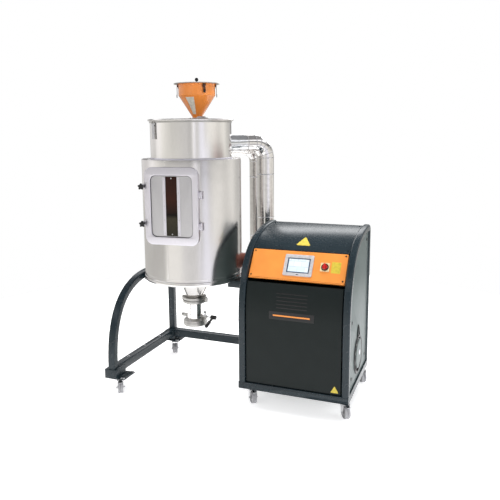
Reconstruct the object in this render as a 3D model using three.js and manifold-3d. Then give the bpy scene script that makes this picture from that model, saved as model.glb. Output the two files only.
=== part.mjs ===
// Mobile granulate dryer: an insulated drying hopper on a tubular stand, joined by two insulated
// air ducts and a short hot-air duct to a dry-air cabinet on castors.
// Millimetres, +Z up. The layout's own origin is on the floor below the cabinet's front left corner,
// +X along the cabinet's width, +Y to the rear; the whole group is then centred on its footprint.
import * as THREE from 'three';
import { mergeVertices } from 'three/addons/utils/BufferGeometryUtils.js';
import Module from 'manifold-3d';

const wasm = await Module();
wasm.setup();

// ---------------------------------------------------------------- driving dimensions
const GAP = 0.4;
const CASTOR = { height: 120, wheelRadius: 40, wheelHalf: 18, trail: 26, turn: -55, plate: 6 };
const CABINET = {
  width: 720, front: -20, rear: 662, top: 1144, corner: 48, baseLow: 126, baseHigh: 170, tube: 45,
};
const HOPPER = { x: -481, y: 332, jacket: 344, jacketLow: 758, jacketHigh: 1595, neck: 280, top: 1850 };
const SHEET = 3;
const CONE = { low: 606, radius: 66, high: 930 };
const STAND = { x: -870, tube: 50, front: -175, rear: 725, beamLow: 142, beamHigh: 200, armTop: 778 };
const REAR_BEAM = { front: 664, rear: 714, end: 130 };
const BRACKET = { low: 710, reach: 194, halfWidth: 60, rail: 30 };
const DOOR = { turn: 5.2, width: 372, height: 505, low: 1047, corner: 52, face: 375, thick: 22 };
const PANEL = { width: 288, height: 401, corner: 34, depth: 8 };
const SIGHT = { width: 80, height: 388, thick: 8 };
const NECK = { width: 336, height: 464, corner: 40, wall: 3 };
const HINGE = { x: 200, y: 356, levels: [1173, 1376], pin: 4, knuckle: 8, half: 19 };
const CLAMP_KNOB = { x: 199, levels: [1183, 1428], radius: 22, stud: 4 };
const OUTLET = { pipe: 56, collarLow: 563, collarHigh: 604, flangeLow: 396, flangeHigh: 442, shaft: 456 };
const FEEDER = { x: -429, rim: 156, bowl: 125, rimHigh: 2100, bowlLow: 2020, neck: 34, low: 1860 };
const DUCT = { radius: 64, wall: 4, azimuth: 52, highA: 1692, highB: 1662, offsetB: 160 };
const DUCT_RUN = { lowA: 700, lowB: 400, entry: 180, reachA: 612, reachB: 640, bend: 110 };
const LINK = { radius: 55, wall: 4, start: -290, y: 540, z: 848 };
const INLET = { y: 312, z: 330, radius: 128 };
const CONSOLE = { lowY: 50, lowZ: 862, highY: 160, highZ: 1021, thick: 3 };

// ---------------------------------------------------------------- finishes
const paint = (color, roughness, metalness) => (
  new THREE.MeshStandardMaterial({ color, roughness, metalness }));
const ANTHRACITE = paint(0x2b3a42, 0.5, 0.3);
const DOOR_PAINT = paint(0x1f2829, 0.5, 0.2);
const SIDE_PAINT = paint(0x6c7a7b, 0.55, 0.2);
const ORANGE = paint(0xf3a14e, 0.45, 0.1);
const AMBER = paint(0xdd7e2a, 0.3, 0.1);
const STAINLESS = paint(0xc9c6c2, 0.28, 1);
const SATIN = paint(0xbdb9bb, 0.45, 0.9);
const GLASS = paint(0x2a1a16, 0.08, 0);
const BLACK = paint(0x151515, 0.5, 0);
const ZINC = paint(0xa9adb0, 0.4, 0.9);
const WHEEL = paint(0x8d9092, 0.6, 0);
const RED = paint(0xb32a22, 0.4, 0);
const CLADDING = paint(0xd4d3d0, 0.22, 1);
const SILICONE = paint(0x8a5648, 0.6, 0);
const CASTING = paint(0x7d8488, 0.6, 0.8);

// ---------------------------------------------------------------- solids from three.js geometry
function solid(geometry) {
  const bare = geometry.index ? geometry.clone() : geometry;
  bare.deleteAttribute('normal');
  bare.deleteAttribute('uv');
  const merged = mergeVertices(bare, 1e-3);
  const mesh = new wasm.Mesh({
    numProp: 3,
    vertProperties: Float32Array.from(merged.attributes.position.array),
    triVerts: Uint32Array.from(merged.index.array),
  });
  mesh.merge();
  return new wasm.Manifold(mesh);
}

function geometryOf(body) {
  const mesh = body.getMesh();
  const geometry = new THREE.BufferGeometry();
  geometry.setAttribute('position', new THREE.BufferAttribute(Float32Array.from(mesh.vertProperties), 3));
  geometry.setIndex(Array.from(mesh.triVerts));
  geometry.computeVertexNormals();
  return geometry;
}

const join = (first, ...rest) => rest.reduce((whole, piece) => whole.add(piece), first);
const cut = (first, ...rest) => rest.reduce((whole, piece) => whole.subtract(piece), first);

// A box between two opposite corners.
function block(low, high) {
  const size = high.map((value, axis) => value - low[axis]);
  const geometry = new THREE.BoxGeometry(...size);
  geometry.translate(...low.map((value, axis) => value + size[axis] / 2));
  return solid(geometry);
}

// A cylinder along an axis, from its start point, of the given length.
function rod(radius, length, axis, start, sides = 24) {
  const geometry = new THREE.CylinderGeometry(radius, radius, length, sides);
  const middle = { x: [length / 2, 0, 0], y: [0, length / 2, 0], z: [0, 0, length / 2] }[axis];
  if (axis === 'x') geometry.rotateZ(-Math.PI / 2);
  if (axis === 'z') geometry.rotateX(Math.PI / 2);
  geometry.translate(start[0] + middle[0], start[1] + middle[1], start[2] + middle[2]);
  return solid(geometry);
}

// A closed profile of [radius, height] points turned about the vertical axis through x, y.
function turned(profile, x, y, sides = 36) {
  const closed = [...profile, profile[0]];
  const geometry = new THREE.LatheGeometry(closed.map(([r, z]) => new THREE.Vector2(r, z)), sides);
  geometry.rotateX(Math.PI / 2);
  geometry.translate(x, y, 0);
  const body = solid(geometry);
  return body.volume() > 0 ? body : solid(flipped(geometry));
}

function flipped(geometry) {
  const index = geometry.index.array;
  for (let i = 0; i < index.length; i += 3) [index[i], index[i + 1]] = [index[i + 1], index[i]];
  return geometry;
}

function outline(points) {
  return new THREE.Shape(points.map(([a, b]) => new THREE.Vector2(a, b)));
}

function roundedRectangle(width, height, corner) {
  const [w, h, r] = [width / 2, height / 2, corner];
  const shape = new THREE.Shape();
  shape.moveTo(-w + r, -h);
  shape.absarc(w - r, -h + r, r, -Math.PI / 2, 0);
  shape.absarc(w - r, h - r, r, 0, Math.PI / 2);
  shape.absarc(-w + r, h - r, r, Math.PI / 2, Math.PI);
  shape.absarc(-w + r, -h + r, r, Math.PI, Math.PI * 1.5);
  return shape;
}

// A plate whose outline is drawn in X and Z, from y to y + thickness.
function plateAlongY(shape, y, thickness, z = 0, curveSegments = 4) {
  const geometry = new THREE.ExtrudeGeometry(shape, { depth: thickness, bevelEnabled: false, curveSegments });
  geometry.rotateX(Math.PI / 2);
  geometry.translate(0, y + thickness, z);
  return solid(geometry);
}

// A plate whose outline is drawn in Y and Z, from x to x + thickness.
function plateAlongX(points, x, thickness) {
  const geometry = new THREE.ExtrudeGeometry(outline(points), { depth: thickness, bevelEnabled: false });
  geometry.rotateY(Math.PI / 2);
  geometry.rotateX(Math.PI / 2);
  geometry.translate(x, 0, 0);
  return solid(geometry);
}

// A section carried along the steps between points.
function swept(section, points) {
  const extrudePath = new PointPath(points);
  const { steps } = extrudePath;
  return solid(new THREE.ExtrudeGeometry(section, { steps, bevelEnabled: false, extrudePath }));
}

function tubeSection(size, chamfer) {
  const [h, k] = [size / 2, size / 2 - chamfer];
  return outline([[h, -k], [h, k], [k, h], [-k, h], [-h, k], [-h, -k], [-k, -h], [k, -h]]);
}

function ringSection(radius, wall, sides) {
  const circle = (r) => Array.from({ length: sides }, (_, i) => {
    const angle = (i * 2 * Math.PI) / sides;
    return [r * Math.cos(angle), r * Math.sin(angle)];
  });
  const section = outline(circle(radius));
  const bore = circle(radius - wall).map(([a, b]) => new THREE.Vector2(a, b));
  if (wall > 0) section.holes.push(new THREE.Path(bore));
  return section;
}

// Points along straight runs that are joined by round bends at the corners between them.
function bentPoints(corners, bend, bendSteps = 3) {
  const turns = corners.map((corner) => new THREE.Vector3(...corner));
  const points = [turns[0]];
  for (let i = 1; i < turns.length - 1; i += 1) {
    const back = turns[i - 1].clone().sub(turns[i]).normalize();
    const ahead = turns[i + 1].clone().sub(turns[i]).normalize();
    const reach = bend / Math.tan(back.angleTo(ahead) / 2);
    const centre = back.clone().add(ahead).normalize()
      .multiplyScalar(bend / Math.sin(back.angleTo(ahead) / 2)).add(turns[i]);
    const from = back.clone().multiplyScalar(reach).add(turns[i]).sub(centre);
    const to = ahead.clone().multiplyScalar(reach).add(turns[i]).sub(centre);
    const axis = from.clone().cross(to).normalize();
    for (let step = 0; step <= bendSteps; step += 1) {
      const spoke = from.clone().applyAxisAngle(axis, (from.angleTo(to) * step) / bendSteps);
      points.push(spoke.add(centre));
    }
  }
  return [...points, turns[turns.length - 1]];
}

// A path of straight steps through its points, mitred at each of them.
class PointPath extends THREE.Curve {
  constructor(points) {
    super();
    this.points = points;
  }

  get steps() {
    return this.points.length - 1;
  }

  getPoint(t, target = new THREE.Vector3()) {
    const place = Math.min(Math.max(t, 0), 1) * this.steps;
    const index = Math.min(Math.floor(place), this.steps - 1);
    return target.copy(this.points[index]).lerp(this.points[index + 1], place - index);
  }

  getPointAt(u, target) {
    return this.getPoint(u, target);
  }

  getTangentAt(u, target = new THREE.Vector3()) {
    const place = Math.round(u * this.steps);
    const before = this.points[Math.max(place - 1, 0)];
    const after = this.points[Math.min(place + 1, this.steps)];
    const here = this.points[Math.min(place, this.steps)];
    const into = place > 0 ? here.clone().sub(before).normalize() : after.clone().sub(here).normalize();
    const out = place < this.steps ? after.clone().sub(here).normalize() : into;
    return target.copy(into).add(out).normalize();
  }
}

// ---------------------------------------------------------------- the assembly
const dryer = new THREE.Group();

function add(name, body, material, parent = dryer) {
  const mesh = new THREE.Mesh(geometryOf(body), material);
  mesh.name = name;
  parent.add(mesh);
  return mesh;
}

// ---------------------------------------------------------------- castors
// The castor's own frame has its swivel axis on Z and its wheel trailing along +X.
function castorFork(braked) {
  const { height, wheelRadius, wheelHalf, trail, plate } = CASTOR;
  const inner = wheelHalf + 3;
  const outer = inner + 3;
  const crownLow = 90;
  const crownHigh = 96;
  const cheek = [[-18, crownHigh], [38, crownHigh], [trail + 12, wheelRadius], [trail + 7, wheelRadius - 11],
    [trail - 7, wheelRadius - 11], [trail - 12, wheelRadius]];
  const cheeks = [-outer, inner].map((y) => plateAlongY(outline(cheek), y, outer - inner));
  const crown = block([-20, -outer, crownLow], [40, outer, crownHigh]);
  const bearing = rod(21, height - plate - GAP - crownHigh + 2, 'z', [0, 0, crownHigh - 2], 12);
  const axle = rod(5, 2 * (outer + 5), 'y', [trail, -outer - 5, wheelRadius], 8);
  const fork = join(crown, bearing, axle, ...cheeks);
  return braked ? join(fork, block([38, -12, crownLow - 4], [74, 12, crownHigh - 4])) : fork;
}

function castorWheel() {
  const { wheelRadius: r, wheelHalf: half } = CASTOR;
  const profile = [[6.2, -half], [12, -half], [r - 9, -half + 6], [r - 9, -half + 1], [r, -half + 3],
    [r, half - 3], [r - 9, half - 1], [r - 9, half - 6], [12, half], [6.2, half]];
  return turned(profile, 0, 0, 16).rotate([90, 0, 0]).translate([CASTOR.trail, 0, r]);
}

function addCastor(name, x, y, braked) {
  const castor = new THREE.Group();
  castor.position.set(x, y, 0);
  castor.rotation.z = THREE.MathUtils.degToRad(CASTOR.turn);
  dryer.add(castor);
  add(`${name}_fork`, castorFork(braked), ZINC, castor);
  add(`${name}_wheel`, castorWheel(), WHEEL, castor);
}

addCastor('castor_stand_front', STAND.x + 14, -95, true);
addCastor('castor_stand_rear', STAND.x + 14, 690, false);
addCastor('castor_cabinet_front_left', 58, 76, true);
addCastor('castor_cabinet_front_right', 675, 76, true);
addCastor('castor_cabinet_rear_left', 58, 650, false);
addCastor('castor_cabinet_rear_right', 675, 650, false);

// ---------------------------------------------------------------- stand
// Floor frame: a side beam, a rear beam that runs on behind the cabinet's base, and a foot block
// with a castor plate at each end of the side beam.
const FOOT_HIGH = 186;
function standBase() {
  const { x, tube, front, rear, beamLow, beamHigh } = STAND;
  const [low, high] = [x - tube / 2, x + tube / 2];
  const sideBeam = block([low, front + tube + 2, beamLow], [high, rear, beamHigh]);
  const rearBeam = block([x, REAR_BEAM.front, beamLow], [REAR_BEAM.end, REAR_BEAM.rear, beamHigh]);
  const plateLow = CASTOR.height - CASTOR.plate;
  const feet = [
    block([x - 50, -180, CASTOR.height], [x + 40, -60, FOOT_HIGH]),
    block([x - 50, -160, plateLow], [x + 90, -20, CASTOR.height]),
    block([x - 50, 640, CASTOR.height], [x + 40, 745, FOOT_HIGH]),
    block([x - 50, 620, plateLow], [x + 90, 745, CASTOR.height]),
  ];
  return join(sideBeam, rearBeam, ...feet);
}
add('stand_base', standBase(), ANTHRACITE);

// Side arm: one tube that rises from the front foot, curves back under the hopper's edge,
// and comes down behind it, with a bracket that reaches in below the hopper's rim.
function standArm() {
  const { x } = STAND;
  const line = STAND.armTop - STAND.tube / 2;
  const foot = FOOT_HIGH + GAP;
  const front = STAND.front + STAND.tube / 2;
  const rear = STAND.rear - STAND.tube / 2;
  const rise = new THREE.CubicBezierCurve3(
    new THREE.Vector3(x, front, foot + 20),
    new THREE.Vector3(x, front, foot + 475),
    new THREE.Vector3(x, 105, line),
    new THREE.Vector3(x, 350, line),
  );
  const corner = 60;
  const rest = [];
  for (let step = 0; step <= 4; step += 1) {
    const angle = (Math.PI / 2) * (1 - step / 4);
    const [y, z] = [rear - corner + corner * Math.cos(angle), line - corner + corner * Math.sin(angle)];
    rest.push(new THREE.Vector3(x, y, z));
  }
  const start = new THREE.Vector3(x, front, foot);
  const end = new THREE.Vector3(x, rear, STAND.beamHigh + GAP);
  const tube = swept(tubeSection(STAND.tube, 9), [start, ...rise.getPoints(14), ...rest, end]);
  const bracket = block(
    [x + 15, HOPPER.y - BRACKET.halfWidth, BRACKET.low],
    [x + 100, HOPPER.y + BRACKET.halfWidth, HOPPER.jacketLow - GAP],
  );
  return join(tube, bracket);
}
add('stand_arm', standArm(), ANTHRACITE);

// The hopper's other side rests on a bracket bolted to the cabinet's side.
const SIDE_FACE = 10;
function hopperBracket() {
  const { low, reach, halfWidth } = BRACKET;
  const high = HOPPER.jacketLow - GAP;
  const beam = block([-reach, HOPPER.y - halfWidth, low], [SIDE_FACE - GAP, HOPPER.y + halfWidth, high]);
  const flange = block([SIDE_FACE - GAP - 6, HOPPER.y - halfWidth - 30, low - 45],
    [SIDE_FACE - GAP, HOPPER.y + halfWidth + 30, high + 8]);
  return join(beam, flange);
}
add('hopper_bracket', hopperBracket(), ANTHRACITE);

// ---------------------------------------------------------------- cabinet
const INNER_LEFT = CABINET.tube;
const INNER_RIGHT = CABINET.width - CABINET.tube;

// Side view of the cabinet: up the front, in a long curve over the top, and down the rear.
function cabinetOutline() {
  const { front, rear, top, corner, baseHigh } = CABINET;
  const curve = new THREE.CubicBezierCurve(
    new THREE.Vector2(front, 600),
    new THREE.Vector2(front, 1072),
    new THREE.Vector2(300, top + 4),
    new THREE.Vector2(rear - corner, top),
  );
  const points = [new THREE.Vector2(front, baseHigh + GAP), ...curve.getPoints(14)];
  for (let step = 1; step <= 4; step += 1) {
    const angle = (Math.PI / 2) * (1 - step / 4);
    const [y, z] = [rear - corner + corner * Math.cos(angle), top - corner + corner * Math.sin(angle)];
    points.push(new THREE.Vector2(y, z));
  }
  points.push(new THREE.Vector2(rear, baseHigh + GAP));
  return points;
}

// The same line moved inward by an inset, measured square to it.
function cabinetLine(inset) {
  const points = cabinetOutline();
  return points.map((point, i) => {
    const into = i > 0 ? point.clone().sub(points[i - 1]).normalize() : new THREE.Vector2(0, 1);
    const out = i < points.length - 1 ? points[i + 1].clone().sub(point).normalize() : into;
    const along = into.clone().add(out).normalize();
    const reach = inset / along.dot(into);
    return new THREE.Vector2(point.x + along.y * reach, point.y - along.x * reach);
  });
}

function cabinetSideTube(x) {
  const points = cabinetLine(CABINET.tube / 2).map((p) => new THREE.Vector3(x, p.x, p.y));
  return swept(tubeSection(CABINET.tube, 11), points);
}

// The left tube also carries a rail, behind the side panel, that takes the hopper's bracket.
function leftSideTube() {
  const x = SIDE_FACE + SHEET + GAP;
  const rail = block(
    [x, CABINET.front + 30, BRACKET.low],
    [x + BRACKET.rail, CABINET.rear - 30, HOPPER.jacketLow],
  );
  const tube = cabinetSideTube(CABINET.tube / 2);
  return join(tube, rail);
}

// The part of the cabinet's outline that the hood covers, at an inset: from the height where it
// starts on the front, over the top, to the height where it ends on the rear.
function hoodLine(inset, frontZ, rearZ) {
  const line = cabinetLine(inset);
  const crossing = (z, i) => {
    const [a, b] = [line[i], line[i + 1]];
    return new THREE.Vector2(a.x + ((b.x - a.x) * (z - a.y)) / (b.y - a.y), z);
  };
  const first = line.findIndex((p) => p.y > frontZ);
  const last = line.findLastIndex((p) => p.y > rearZ);
  return [crossing(frontZ, first - 1), ...line.slice(first, last + 1), crossing(rearZ, last)];
}

function cabinetBase() {
  const { width, front, rear, baseLow, baseHigh } = CABINET;
  const tray = cut(
    block([0, front, baseLow], [width, rear, baseHigh]),
    block([45, front + 45, baseLow + 4], [width - 45, rear - 45, baseHigh + 1]),
  );
  const plates = [58, 675].flatMap((x) => [76, 650].map((y) => block(
    [Math.max(x - 55, 4), y - 55, CASTOR.height - CASTOR.plate],
    [Math.min(x + 55, width - 4), Math.min(y + 55, rear - 4), baseLow],
  )));
  return join(tray, ...plates);
}

const consoleLength = Math.hypot(CONSOLE.highY - CONSOLE.lowY, CONSOLE.highZ - CONSOLE.lowZ);
const consoleLean = Math.atan2(CONSOLE.highY - CONSOLE.lowY, CONSOLE.highZ - CONSOLE.lowZ);

// The console's own frame: X along the cabinet, Z up its slope from the lower edge, -Y outward.
const consoleGroup = new THREE.Group();
consoleGroup.position.set(0, CONSOLE.lowY, CONSOLE.lowZ);
consoleGroup.rotation.x = -consoleLean;
dryer.add(consoleGroup);

const HOOD = { front: CONSOLE.highZ + 4, rear: CABINET.top - CABINET.corner - 5, inset: 10 };
function cabinetHood() {
  const outer = hoodLine(HOOD.inset, HOOD.front, HOOD.rear);
  const inner = hoodLine(HOOD.inset + SHEET, HOOD.front, HOOD.rear).reverse();
  const strip = [...outer, ...inner].map((p) => [p.x, p.y]);
  return plateAlongX(strip, INNER_LEFT + GAP, INNER_RIGHT - INNER_LEFT - 2 * GAP);
}

function serviceDoor() {
  const highest = CONSOLE.lowZ - 28;
  const outer = [];
  const line = cabinetLine(10).filter((p) => p.x < 300);
  const yAt = (z) => {
    const above = line.findIndex((p) => p.y >= z);
    const [a, b] = [line[above - 1], line[above]];
    return a.x + ((b.x - a.x) * (z - a.y)) / (b.y - a.y);
  };
  const low = CABINET.baseHigh + 6;
  for (let step = 0; step <= 8; step += 1) {
    const z = step === 0 ? low : 560 + ((highest - 560) * (step - 1)) / 7;
    outer.push([yAt(z), z]);
  }
  const inner = outer.map(([y, z]) => [y + 16, z]).reverse();
  const edge = 5;
  const body = plateAlongX([...outer, ...inner], INNER_LEFT + edge, INNER_RIGHT - INNER_LEFT - 2 * edge);
  const pocket = outer.map(([y, z]) => [y + 2, z]);
  const trimmed = pocket.map(([y, z]) => [y, Math.min(Math.max(z, low + 14), highest - 14)]);
  const back = trimmed.map(([y, z]) => [y + 30, z]).reverse();
  const border = edge + 14;
  const span = INNER_RIGHT - INNER_LEFT - 2 * border;
  const hollow = plateAlongX([...trimmed, ...back], INNER_LEFT + border, span);
  return cut(body, hollow);
}

const sidePanelOutline = () => cabinetLine(CABINET.tube + GAP).map((p) => [p.x, p.y]);

function rearPanel() {
  const inset = CABINET.tube + GAP;
  const [low, high] = [CABINET.baseHigh + GAP, HOOD.rear - GAP];
  const [left, right, face] = [INNER_LEFT + GAP, INNER_RIGHT - GAP, CABINET.rear - 14];
  const sheet = block([left, face, low], [right, face + 6, high]);
  const holes = [DUCT_RUN.lowA, DUCT_RUN.lowB].map((z) => (
    rod(DUCT.radius - DUCT.wall, 60, 'y', [DUCT_RUN.entry, CABINET.rear - inset, z])));
  const sill = block([left, face - 20, low], [right, face, low + 30]);
  return cut(join(sheet, sill), ...holes);
}

add('cabinet_base', cabinetBase(), ANTHRACITE);
add('cabinet_side_tube_left', leftSideTube(), ANTHRACITE);
add('cabinet_side_tube_right', cabinetSideTube(CABINET.width - CABINET.tube / 2), ANTHRACITE);
add('cabinet_hood', cabinetHood(), ANTHRACITE);
add('cabinet_front_door', serviceDoor(), DOOR_PAINT);
const linkHole = rod(LINK.radius - LINK.wall, 80, 'x', [-30, LINK.y, LINK.z], 16);
const leftPanel = plateAlongX(sidePanelOutline(), SIDE_FACE, SHEET);
add('cabinet_side_panel_left', cut(leftPanel, linkHole), SIDE_PAINT);
const inletHole = rod(INLET.radius - 12, 40, 'x', [CABINET.width - 40, INLET.y, INLET.z], 24);
const rightPanel = plateAlongX(sidePanelOutline(), CABINET.width - SIDE_FACE - SHEET, SHEET);
add('cabinet_side_panel_right', cut(rightPanel, inletHole), SIDE_PAINT);
add('cabinet_rear_panel', rearPanel(), ANTHRACITE);

// Air inlet guard on the right side: a rim with curved vanes round a hub.
function inletGuard() {
  const x = CABINET.width - SIDE_FACE + GAP;
  const [outer, inner] = [INLET.radius, INLET.radius - 22];
  const ring = turned([[inner, 0], [outer, 0], [outer, 6], [inner, 6]], 0, 0, 24);
  const hub = rod(26, 5, 'z', [0, 0, 0], 12);
  const vanes = Array.from({ length: 8 }, (_, i) => (
    block([18, -5, 0], [INLET.radius - 14, 5, 4]).rotate([0, 0, 45 * i])));
  return join(ring, hub, ...vanes).rotate([0, 90, 0]).translate([x, INLET.y, INLET.z]);
}
add('inlet_guard', inletGuard(), BLACK);

// Console panel with a lower lip, touch panel, and main switch.
function consolePanel() {
  const plate = block([INNER_LEFT + 5, -CONSOLE.thick, 0], [INNER_RIGHT - 5, 0, consoleLength]);
  const lip = block([INNER_LEFT + 5, -CONSOLE.thick, -7], [INNER_RIGHT - 5, 14, 1]);
  return join(plate, lip);
}
add('console_panel', consolePanel(), ORANGE, consoleGroup);
const TOUCH = { x: 366, z: 95, width: 187, height: 144, thick: 7 };
const touchShape = roundedRectangle(TOUCH.width, TOUCH.height, 7);
const touchPlate = plateAlongY(touchShape, 0, TOUCH.thick, 0, 2);
const screenPocket = block([-72, -1, -50], [72, 2, 48]);
const touchPanel = cut(touchPlate, screenPocket)
  .translate([TOUCH.x, -CONSOLE.thick - GAP - TOUCH.thick, TOUCH.z]);
add('touch_panel', touchPanel, SATIN, consoleGroup);

const SWITCH = { x: 535, z: 97, plate: 58, hub: 16 };
const switchFace = -CONSOLE.thick - GAP;
const switchPlate = block(
  [SWITCH.x - SWITCH.plate / 2, switchFace - 4, SWITCH.z - SWITCH.plate / 2],
  [SWITCH.x + SWITCH.plate / 2, switchFace, SWITCH.z + SWITCH.plate / 2],
);
add('switch_plate', switchPlate, paint(0xe8d84a, 0.5, 0), consoleGroup);
const switchKnob = join(
  rod(SWITCH.hub, 8, 'y', [SWITCH.x, switchFace - 4 - GAP - 8, SWITCH.z], 20),
  block([SWITCH.x - 6, switchFace - 30, SWITCH.z - 19], [SWITCH.x + 6, switchFace - 10, SWITCH.z + 19]),
);
add('switch_knob', switchKnob, RED, consoleGroup);

// Process blower behind the inlet guard, with its impeller, and a desiccant canister.
function blowerHousing() {
  const [r, x] = [104, 520];
  const drum = turned([[0, 0], [r, 0], [r, 150], [r - 4, 150], [r - 4, 6], [0, 6]], 0, 0, 20);
  const shell = drum.rotate([0, 90, 0]).translate([x, INLET.y, INLET.z]);
  const motor = rod(62, 150, 'x', [x - 148, INLET.y, INLET.z]);
  const foot = block(
    [x - 120, INLET.y - 60, CABINET.baseLow + 4 + GAP],
    [x - 20, INLET.y + 60, INLET.z - 40],
  );
  return join(shell, motor, foot);
}
function blowerImpeller() {
  const disc = rod(84, 4, 'x', [534, INLET.y, INLET.z], 16);
  const hub = rod(20, 70, 'x', [534, INLET.y, INLET.z], 10);
  const blades = Array.from({ length: 8 }, (_, i) => (
    block([0, 16, -2], [80, 80, 2]).rotate([45 * i, 0, 0]).translate([536, INLET.y, INLET.z])));
  return join(disc, hub, ...blades);
}
add('blower_housing', blowerHousing(), CASTING);
add('blower_impeller', blowerImpeller(), SATIN);
const canisterProfile = [[0, 0], [96, 0], [96, 620], [28, 650], [28, 700], [24, 700], [24, 648], [93, 618],
  [93, 3], [0, 3]];
const canister = turned(canisterProfile, 0, 0, 18).translate([210, 400, CABINET.baseLow + 4 + GAP]);
add('desiccant_canister', canister, SATIN);

// ---------------------------------------------------------------- hopper
const atHopper = (profile, sides = 36) => turned(profile, HOPPER.x, HOPPER.y, sides);

// The hatch's own frame: origin on the hopper's axis, -Y straight out through the hatch.
const hatchGroup = new THREE.Group();
hatchGroup.position.set(HOPPER.x, HOPPER.y, 0);
hatchGroup.rotation.z = THREE.MathUtils.degToRad(DOOR.turn);
dryer.add(hatchGroup);
const HATCH_MIDDLE = DOOR.low + DOOR.height / 2;
const hatchPlate = (width, height, corner, y, thickness) => (
  plateAlongY(roundedRectangle(width, height, corner), y, thickness, HATCH_MIDDLE));
const toHopper = (body) => body.rotate([0, 0, DOOR.turn]).translate([HOPPER.x, HOPPER.y, 0]);

// Drying vessel: a cylinder, open at the hatch and the top, with a cone below it.
function vessel() {
  const { neck, top } = HOPPER;
  const low = CONE.high + GAP;
  const body = atHopper([[neck - SHEET, low], [neck, low], [neck, top], [neck - SHEET, top]]);
  const [width, height] = [NECK.width - 2 * NECK.wall, NECK.height - 2 * NECK.wall];
  const hatch = toHopper(hatchPlate(width, height, NECK.corner, -400, 300));
  const port = (height, offset) => rod(DUCT.radius - DUCT.wall, 400, 'x', [0, offset, height])
    .rotate([0, 0, DUCT.azimuth]).translate([HOPPER.x, HOPPER.y, 0]);
  return cut(body, hatch, port(DUCT.highA, 0), port(DUCT.highB, DUCT.offsetB));
}
add('hopper_vessel', vessel(), STAINLESS);
const coneWall = [[CONE.radius, CONE.low], [HOPPER.neck, CONE.high], [HOPPER.neck - SHEET, CONE.high],
  [CONE.radius - SHEET, CONE.low]];
add('hopper_cone', atHopper(coneWall), STAINLESS);

// Insulation jacket: an outer skin with a rim at its foot and openings for hatch and hot air,
// and a ring plate at each end that closes the space between skin and vessel.
function jacket() {
  const { jacket: r, jacketLow: low, jacketHigh: high } = HOPPER;
  const body = atHopper([[r - SHEET, low], [r + 4, low], [r + 4, low + 26], [r, low + 30], [r, high],
    [r - SHEET, high]]);
  const margin = 2 * GAP;
  const hatch = toHopper(hatchPlate(NECK.width + margin, NECK.height + margin, NECK.corner, -400, 300));
  const link = rod(LINK.radius - LINK.wall, 400, 'x', [HOPPER.x, LINK.y, LINK.z], 16);
  return cut(body, hatch, link);
}
const ringPlate = (inner, z) => {
  const outer = HOPPER.jacket - SHEET - GAP;
  return atHopper([[inner, z], [outer, z], [outer, z + SHEET], [inner, z + SHEET]]);
};
add('hopper_jacket', jacket(), STAINLESS);
add('jacket_top_plate', ringPlate(HOPPER.neck + GAP, HOPPER.jacketHigh - SHEET), STAINLESS);
add('jacket_base_plate', ringPlate(176, HOPPER.jacketLow), STAINLESS);

// Lid: a flat disc with a rolled rim, a spigot for the feeder and a capped inspection port.
function hopperLid() {
  const { top } = HOPPER;
  const disc = atHopper([[0, top + GAP], [295, top + GAP], [295, top + 9], [288, top + 12], [0, top + 6]]);
  const port = rod(22, 16, 'z', [-340, 250, top + 2], 16);
  const handle = block([-372, 240, top + 2], [-308, 262, top + 24]);
  const spigot = rod(FEEDER.neck - 8, 40, 'z', [FEEDER.x, HOPPER.y, top - 10], 16);
  return cut(join(disc, port, handle), spigot);
}
add('hopper_lid', hopperLid(), STAINLESS);

// Hatch frame: a rounded duct from the vessel's wall to the hatch, with clamp lugs on its left.
const FRAME_FACE = DOOR.face - DOOR.thick - GAP;
function hatchFrame() {
  const { width, height, corner, wall } = NECK;
  const face = FRAME_FACE;
  const duct = cut(
    hatchPlate(width, height, corner, -face, face),
    hatchPlate(width - 2 * wall, height - 2 * wall, corner - wall, -400, 500),
  );
  const side = width / 2 - 1;
  const lugs = CLAMP_KNOB.levels.map((z) => cut(
    block([-CLAMP_KNOB.x - 14, -face, z - 14], [-side, -face + 16, z + 14]),
    rod(CLAMP_KNOB.stud + 3, 60, 'y', [-CLAMP_KNOB.x, -face - 20, z], 12),
  ));
  return cut(join(duct, ...lugs), rod(HOPPER.neck + 1.4, 700, 'z', [0, 0, 900], 36));
}
add('hatch_frame', hatchFrame(), STAINLESS, hatchGroup);

// Hinge bracket on the frame's right: two forks joined by a web, with the hinge pin between them.
function hingeBracket(z) {
  const [side, face] = [NECK.width / 2 + GAP, FRAME_FACE];
  const reach = HINGE.half + 6;
  const forks = [-reach, HINGE.half + 1].flatMap((start) => {
    const [low, high] = [z + start, z + start + 5];
    return [
      block([side, -face, low], [HINGE.x + 10, -face + 22, high]),
      block([HINGE.x - 8, -HINGE.y - 8, low], [HINGE.x + 10, -face + 1, high]),
    ];
  });
  const web = block([side, -face + 12, z - reach + 1], [HINGE.x + 10, -face + 22, z + reach - 1]);
  const pin = rod(HINGE.pin, 2 * reach - 2, 'z', [HINGE.x, -HINGE.y, z - reach + 1], 8);
  return join(web, ...forks, pin);
}
add('hinge_bracket_lower', hingeBracket(HINGE.levels[0]), STAINLESS, hatchGroup);
add('hinge_bracket_upper', hingeBracket(HINGE.levels[1]), STAINLESS, hatchGroup);

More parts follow.
